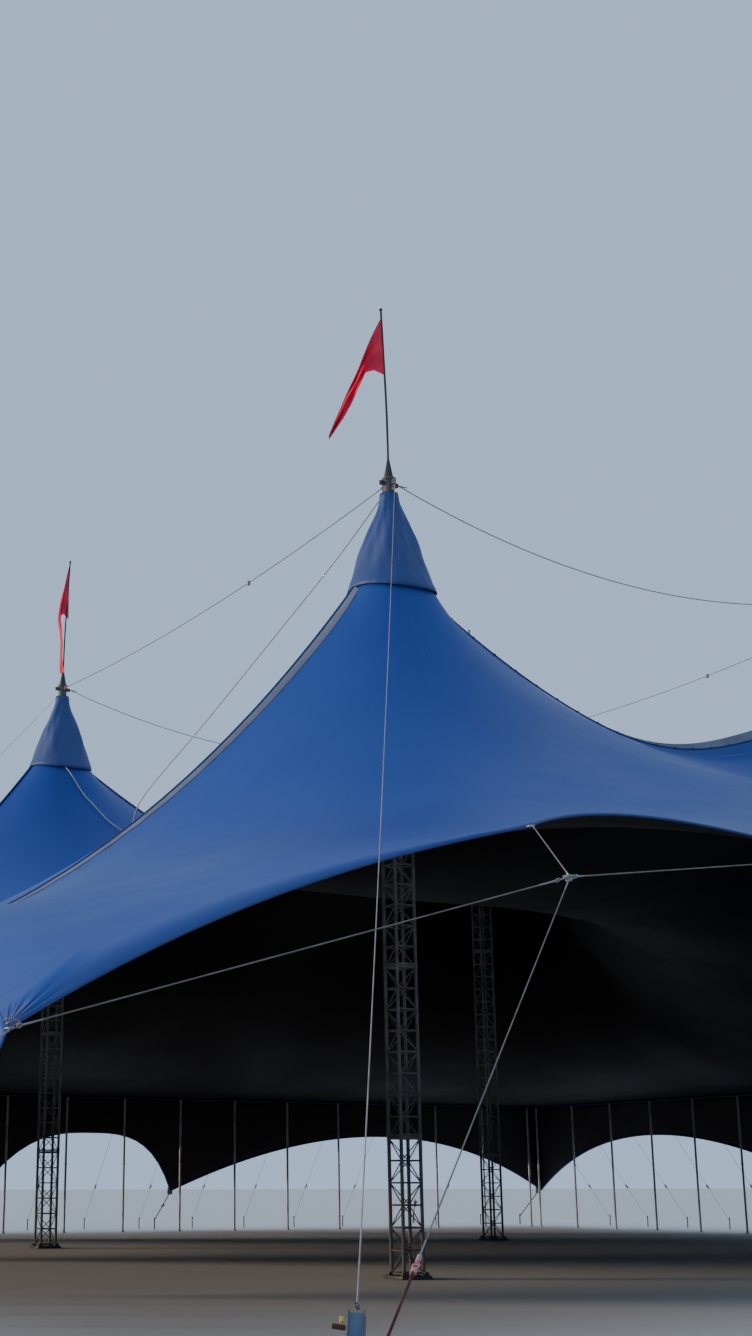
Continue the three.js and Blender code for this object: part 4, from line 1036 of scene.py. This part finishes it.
for place, (sx, sy) in MASTS.items():
    x, y = sx * MAST_X, sy * MAST_Y
    head(f"mast_rigging_{place}", x, y, sy, LEANS[place], f"mast_head_{place}")
    pennant(f"flag_{place}", x, y, LEANS[place], *FLAGS[place], f"pennant_{place}")

# %% [markdown]
# ## Mast cables
# Wire ropes tie the heads to each other round the rectangle of the masts. They are thin and sag a
# little under their own weight, so each is a pipe along a shallow parabola, with a fitting at each
# end. Two of them carry a clip on the way.

# %% Mast cables
CABLE_R, LONG_GUY_R, GUY_R = 0.010, 0.0050, 0.0058
CABLE_STEPS = 32
SPANS = {"front": ("front_left", "front_right", 1.18), "back": ("back_left", "back_right", 1.08),
         "left": ("front_left", "back_left", 0.28), "right": ("front_right", "back_right", 0.43)}
CLIPS = {"left": 11, "right": 12}  # the step that the clip is at


def sagging(a, b, sag, steps):
    return [a.lerp(b, k / steps) - up(4 * sag * (k / steps) * (1 - k / steps)) for k in range(steps + 1)]


for name, (first, last, sag) in SPANS.items():
    a, b = (Vector((MASTS[place][0] * MAST_X, MASTS[place][1] * MAST_Y, LUG_Z)) for place in (first, last))
    way = (b - a).normalized()
    a, b = a + way * LUG_OUT, b - way * LUG_OUT
    bm = bmesh.new()
    line = sagging(a, b, sag, CABLE_STEPS)
    pipe(bm, line, CABLE_R)
    for end, toward in ((a, way), (b, -way)):
        rod(bm, end + toward * 0.02, end + toward * 0.2, 0.015, 8, end=0.011, paint=1)
        hoop(bm, end, (0, 0, 1), 0.022, 0.008, steps=10, paint=1)
    if name in CLIPS:
        block(bm, line[CLIPS[name]], (0.07, 0.09, 0.1), bevel=0.012, paint=1)
    finished(f"span_cable_{name}", bm, [wire_grey, zinc], [f"mast_cable_{name}"])

# %% [markdown]
# ## Mast guys
# A long guy holds each head back to a pair of stakes. Near the ground a hand hoist, with a lever and
# a tag, takes up its length, and a short chain goes on to the stakes. The hoist is small, but it is
# the thing nearest to the camera, so it gets its own plates and grip.

# %% Mast guys
ANCHOR_Z = 0.28
ANCHORS = {-1: (19.73, 27.61), 1: (17.48, 28.795)}  # x and y of a front and a back guy's anchor


def stake(bm, foot, top, r, head_r, paint=3, lean=(0, 0, 0)):
    """A steel stake from its foot to its top, with a flat head."""
    rod(bm, foot, top + Vector(lean), r, 8, paint=paint)
    rod(bm, top - up(0.02), top, head_r, 8, paint=paint)


def chain(bm, a, b, link, thick, paint):
    way = (b - a).normalized()
    side = way.orthogonal().normalized()
    count = max(2, round((b - a).length / (link * 1.5)))
    for k in range(count):
        hoop(bm, a.lerp(b, (k + 0.5) / count), side if k % 2 else way.cross(side), link * 0.5, thick,
             steps=8, sides=5, paint=paint)


def hoist(bm, low, high, out):
    """A body between two plates, with its lever, grip and tag on the side that out points to."""
    way = (high - low).normalized()
    out = (out - way * out.dot(way)).normalized()
    turn = Matrix((out, way.cross(out), way)).transposed().to_4x4()
    body = low.lerp(high, 0.62)
    block(bm, body, (0.11, 0.09, 0.34), turn, bevel=0.02, paint=1)
    for shift in (-0.042, 0.042):
        block(bm, body + out * shift, (0.012, 0.1, 0.36), turn, bevel=0.004, paint=2)
    lever = body + way * 0.08
    rod(bm, lever, lever + out * 0.1, 0.011, 8, paint=3)
    rod(bm, lever + out * 0.06, lever + out * 0.13 + way * 0.01, 0.015, 8, paint=5)
    block(bm, lever + out * 0.08 + way * 0.07, (0.025, 0.012, 0.05), turn, bevel=0.003, paint=4)
    hoop(bm, high, way.orthogonal(), 0.02, 0.006, steps=10, paint=2)


for place, (sx, sy) in MASTS.items():
    anchor = Vector((sx * ANCHORS[sy][0], sy * ANCHORS[sy][1], ANCHOR_Z))
    lug = Vector((sx * MAST_X, sy * (MAST_Y + 0.215), DRUM_TOP_Z - 0.2))
    low, high = (anchor.lerp(lug, t) - up(0.02) for t in (0.02, 0.047))
    bm = bmesh.new()
    pipe(bm, [p for p in sagging(lug, anchor, 0.3, 40) if p.z > high.z + 0.05] + [high], LONG_GUY_R)
    hoist(bm, low, high, Vector((0.88 * sx, -0.47 * sy, 0)))
    chain(bm, low.lerp(high, 0.4), anchor + up(0.05), 0.06, 0.009, 2)
    for shift in (-0.03, 0.03):
        stake(bm, anchor + Vector((shift, 0, -ANCHOR_Z)), anchor + Vector((shift, shift, 0.12)), 0.02, 0.034)
    finished(f"long_guy_{place}", bm,
             [guy_line, gear_blue, worn_steel, dark_steel, tag_yellow, strap_red], [f"mast_guy_{place}"])

# %% [markdown]
# ## Front edge
# The front has no poles. Its edge is a hem with a cable in it, from corner to corner, in five lengths
# that end at the eyes. A plate and a steel eye are set into each corner and each of the four eyes,
# and two loose hoops hang at each corner.

# %% Front edge
EDGE_STEPS = 16  # between two eyes
EDGE_CUTS = (0, 1, 2, 4, 5, 6)  # the ends of the cable's lengths, in steps of that many points
edge = front_edge(EDGE_STEPS)
whole = edge + [flipped(p, -1) for p in reversed(edge[:-1])]
bm = bmesh.new()
for first, last in zip(EDGE_CUTS, EDGE_CUTS[1:]):
    part = whole[first * EDGE_STEPS:last * EDGE_STEPS + 1]
    pipe(bm, [p + Vector((0, -0.004, -0.018)) for p in part], 0.014)
for point in (FRONT_CORNER, FRONT_EYE_1, FRONT_EYE_2):
    for sign in SIDES.values():
        eye = flipped(point, sign) - up(0.02)
        block(bm, eye + Vector((0, -0.03, 0)), (0.05, 0.06, 0.012), bevel=0.004, paint=1)
        hoop(bm, eye + Vector((0, -0.07, 0)), (0, 0, 1), 0.025, 0.008, steps=14, paint=1)
for sign in SIDES.values():
    for tilt, size in ((0.35, 0.07), (-0.2, 0.055)):
        hoop(bm, flipped(FRONT_CORNER, sign) + Vector((0.03 * sign, -0.04, 0.02)), (tilt * sign, 0.3, 1),
             size, 0.0032, steps=20, paint=1)
finished("front_hem", bm, [hem_blue, bright_steel], ["edge_cable_front"])

# %% [markdown]
# ## Front rigging
# A ring hangs out in front of each half of the arch. Three ropes run from it to the corner and the
# two eyes, and its guy runs down over a clevis and a strap to a stake, so it pulls the edge into its
# arch. The corner has a guy of its own.

# %% Front rigging
RING_EYE, RING_ANCHOR = (-15.485, -24.21, 4.02), (-20.618, -28.81, ANCHOR_Z)
CORNER_STAKE = (-23.4, -25.6, ANCHOR_Z)


def rope(bm, a, b, r):
    """A taut rope with a spliced eye and a thimble at each end."""
    way = (b - a).normalized()
    rod(bm, a, b, r, 8)
    for end, toward in ((a, way), (b, -way)):
        rod(bm, end + toward * 0.04, end + toward * 0.2, r * 1.4, 8, end=r * 1.05, paint=1)
        hoop(bm, end + toward * 0.02, toward.orthogonal(), 0.02, r * 0.8, steps=10, paint=1)


for side, sign in SIDES.items():
    bm = bmesh.new()
    ring, anchor, corner_stake = (flipped(p, sign) for p in (RING_EYE, RING_ANCHOR, CORNER_STAKE))
    ends = [flipped(p, sign) + Vector((0, -0.1, -0.02)) for p in (FRONT_CORNER, FRONT_EYE_1, FRONT_EYE_2)]
    hoop(bm, ring, (0, 0, 1), 0.05, 0.012, steps=20, sides=8, paint=1)
    for target in (*ends, anchor):
        way = (target - ring).normalized()
        shackle(bm, ring + way * 0.075, way, 0.05, paint=1)
        if target is not anchor:
            rope(bm, ring + way * 0.1, target - way * 0.04, GUY_R)
            shackle(bm, target, -way, 0.045, paint=1)
    clevis = anchor.lerp(ring, 0.25)
    down = (anchor - ring).normalized()
    rope(bm, ring + down * 0.1, clevis, 0.0045)
    rod(bm, clevis - down * 0.05, clevis + down * 0.02, 0.013, 8, paint=4)
    shackle(bm, clevis + down * 0.045, down, 0.036, paint=4)
    block(bm, clevis + down * 0.095, (0.036, 0.02, 0.05), facing(down), bevel=0.008, paint=4)
    rod(bm, clevis + down * 0.11, clevis + down * 0.15, 0.013, 6, paint=2)
    rod(bm, clevis + down * 0.14, anchor, 0.009, 4, paint=2)
    rope(bm, ends[0], corner_stake, GUY_R)
    for spot in (anchor, corner_stake):
        stake(bm, spot - up(ANCHOR_Z), spot + up(0.12), 0.022, 0.035)
    finished(f"arch_rigging_{side}", bm,
             [wire_grey, bright_steel, strap_red, dark_steel, tape_pink], [f"front_rigging_{side}"])

# %% [markdown]
# ## Skirt edges
# The skirt's hem has its own cable, with a plate and a strap at each low point. The strap runs over a
# ratchet to a stake. The hem follows the same points as the skirt's lower line.

# %% Skirt hems
STAKE_TOP = 0.4  # above the ground
CORNER_IN = 0.15  # from a back corner to its plate


def hem(name, lows, plates, nodes):
    """The cable in the hem, and a plate, strap and stake at each low point, pulled outwards."""
    bm = bmesh.new()
    pipe(bm, [p - up(0.01) for p in lows], 0.03)
    for at, out in plates:
        at, out = Vector(at), Vector(out)
        turn = Matrix.Rotation(math.atan2(out.y, out.x), 4, "Z")
        ground = Vector((at.x, at.y, 0)) + out * 1.3
        top, foot = at + out * 0.08 - up(0.16), ground + up(0.32)
        block(bm, at + out * 0.05 - up(0.06), (0.03, 0.2, 0.26), turn, bevel=0.008, paint=1)
        rod(bm, top, foot, 0.022, 4, paint=2)
        block(bm, top.lerp(foot, 0.45), (0.08, 0.07, 0.14), turn @ facing((foot - top).normalized()),
              bevel=0.01, paint=1)
        stake(bm, ground, ground + up(STAKE_TOP), 0.024, 0.038)
    finished(name, bm, [hem_blue, zinc, strap_red, dark_steel], nodes)


back_plates = [-LOW_X, LOW_X, -SKIRT_X + CORNER_IN, SKIRT_X - CORNER_IN]
hem("skirt_hem_back", back_lows, [((x, SKIRT_Y, LOW_Z), (0, 1, 0)) for x in back_plates],
    ["edge_cable_back_left", "edge_cable_back_middle", "edge_cable_back_right"])
for side, sign in SIDES.items():
    hem(f"skirt_hem_{side}", [flipped(p, sign) for p in side_lows],
        [((-SKIRT_X * sign, y, LOW_Z), (-sign, 0, 0)) for y in (LOW_Y, -LOW_Y)], [f"edge_cable_{side}"])

# %% [markdown]
# ## Side poles and their guys
# Tubes stand under the eave at even steps, with a belt over their tops. Outside each one a guy runs
# from the eave's own belt to a stake, with a tensioner where a hand can reach it. There are 54 of
# each, so every one is kept to a few dozen faces.

# %% Side poles and their guys
POLE_R, POLE_TOP_Z, POLE_COUNT = 0.0375, EAVE_Z - 0.045, 18
POLES_IN, GUYS_OUT = 0.0425, 0.0266  # from the eave in to the poles, and out to the guys
END_GAP = 0.3  # from a corner to the first pole
GUY_RUN = 3.3


def belt(bm, spots, z, wide, deep, paint):
    """A belt along the eave, from the first of these spots to the last."""
    first, last = Vector((*spots[0], z)), Vector((*spots[-1], z))
    size = (abs(last.x - first.x) + wide, abs(last.y - first.y) + wide, deep)
    block(bm, (first + last) / 2, size, bevel=0.004, paint=paint)


def poles(name, feet, nodes):
    bm = bmesh.new()
    for x, y in feet:
        rod(bm, (x, y, 0.012), (x, y, POLE_TOP_Z), POLE_R, 12)
        block(bm, (x, y, 0.006), (0.14, 0.14, 0.012))
        rod(bm, (x, y, 0.012), (x, y, 0.07), POLE_R + 0.008, 12)
        rod(bm, (x, y, 2.2), (x, y, 2.26), POLE_R + 0.006, 12)
    belt(bm, feet, POLE_TOP_Z - 0.02, 2 * POLE_R, 0.03, 1)
    finished(name, bm, [zinc, hem_blue], nodes)


def guys(name, tops, out, nodes):
    bm = bmesh.new()
    out = Vector(out)
    z = EAVE_Z + 0.02
    for x, y in tops:
        top, ground = Vector((x, y, z)), Vector((x, y, 0)) + out * GUY_RUN
        foot = ground + up(0.3)
        rod(bm, top, foot, GUY_R, 6)
        hoop(bm, top, out.cross(up(1)), 0.03, 0.01, steps=8, sides=5, paint=1)
        block(bm, top.lerp(foot, 0.72), (0.06, 0.05, 0.16), facing((foot - top).normalized()),
              bevel=0.008, paint=1)
        stake(bm, ground, ground + up(STAKE_TOP), 0.02, 0.03, paint=2, lean=out * 0.01)
    belt(bm, tops, z, 0.05, 0.035, 3)
    finished(name, bm, [wire_grey, zinc, dark_steel, hem_blue], nodes)


half_back, side_run = EAVE_X - END_GAP, EAVE_Y - EAVE_FRONT_Y - 2 * END_GAP
back_x = [-half_back + 2 * half_back * k / (POLE_COUNT - 1) for k in range(POLE_COUNT)]
side_y = [EAVE_Y - END_GAP - side_run * k / (POLE_COUNT - 1) for k in range(POLE_COUNT)]
poles("side_poles_back", [(x, EAVE_Y - POLES_IN) for x in back_x], ["poles_back_left", "poles_back_right"])
guys("side_guys_back", [(x, EAVE_Y + GUYS_OUT) for x in back_x], (0, 1, 0),
     ["guys_back_left", "guys_back_right"])
for side, sign in SIDES.items():
    poles(f"side_poles_{side}", [(-(EAVE_X - POLES_IN) * sign, y) for y in side_y],
          [f"poles_{side}_rear", f"poles_{side}_fore"])
    guys(f"side_guys_{side}", [(-(EAVE_X + GUYS_OUT) * sign, y) for y in side_y], (-sign, 0, 0),
         [f"guys_{side}_rear", f"guys_{side}_fore"])

# %% [markdown]
# ## Floor and light
# A plain pale floor and a pale sky keep the eye on the tent. One broad soft sun from the left models
# the cones, and the sky fills the rest.

# %% Floor and light
floor_bm = bmesh.new()
bmesh.ops.create_grid(floor_bm, x_segments=1, y_segments=1, size=200)
floor_mesh = bpy.data.meshes.new("floor")
floor_bm.to_mesh(floor_mesh)
floor_bm.free()
floor = bpy.data.objects.new("floor", floor_mesh)
scene.collection.objects.link(floor)
floor_material, _, shader, _ = start("floor_pale", Roughness=0.9)
shader.inputs["Base Color"].default_value = (0.62, 0.60, 0.57, 1)
floor_mesh.materials.append(floor_material)
world = bpy.data.worlds.new("studio")
world.use_nodes = True
world.node_tree.nodes["Background"].inputs["Color"].default_value = (0.50, 0.67, 0.92, 1)
world.node_tree.nodes["Background"].inputs["Strength"].default_value = 0.9
scene.world = world
lamp = bpy.data.lights.new("key", "SUN")
lamp.energy = 3.0
lamp.angle = math.radians(8)
lamp.color = (1.0, 0.80, 0.62)
key = bpy.data.objects.new("key", lamp)
key.rotation_euler = (math.radians(82), 0, math.radians(-118))
scene.collection.objects.link(key)
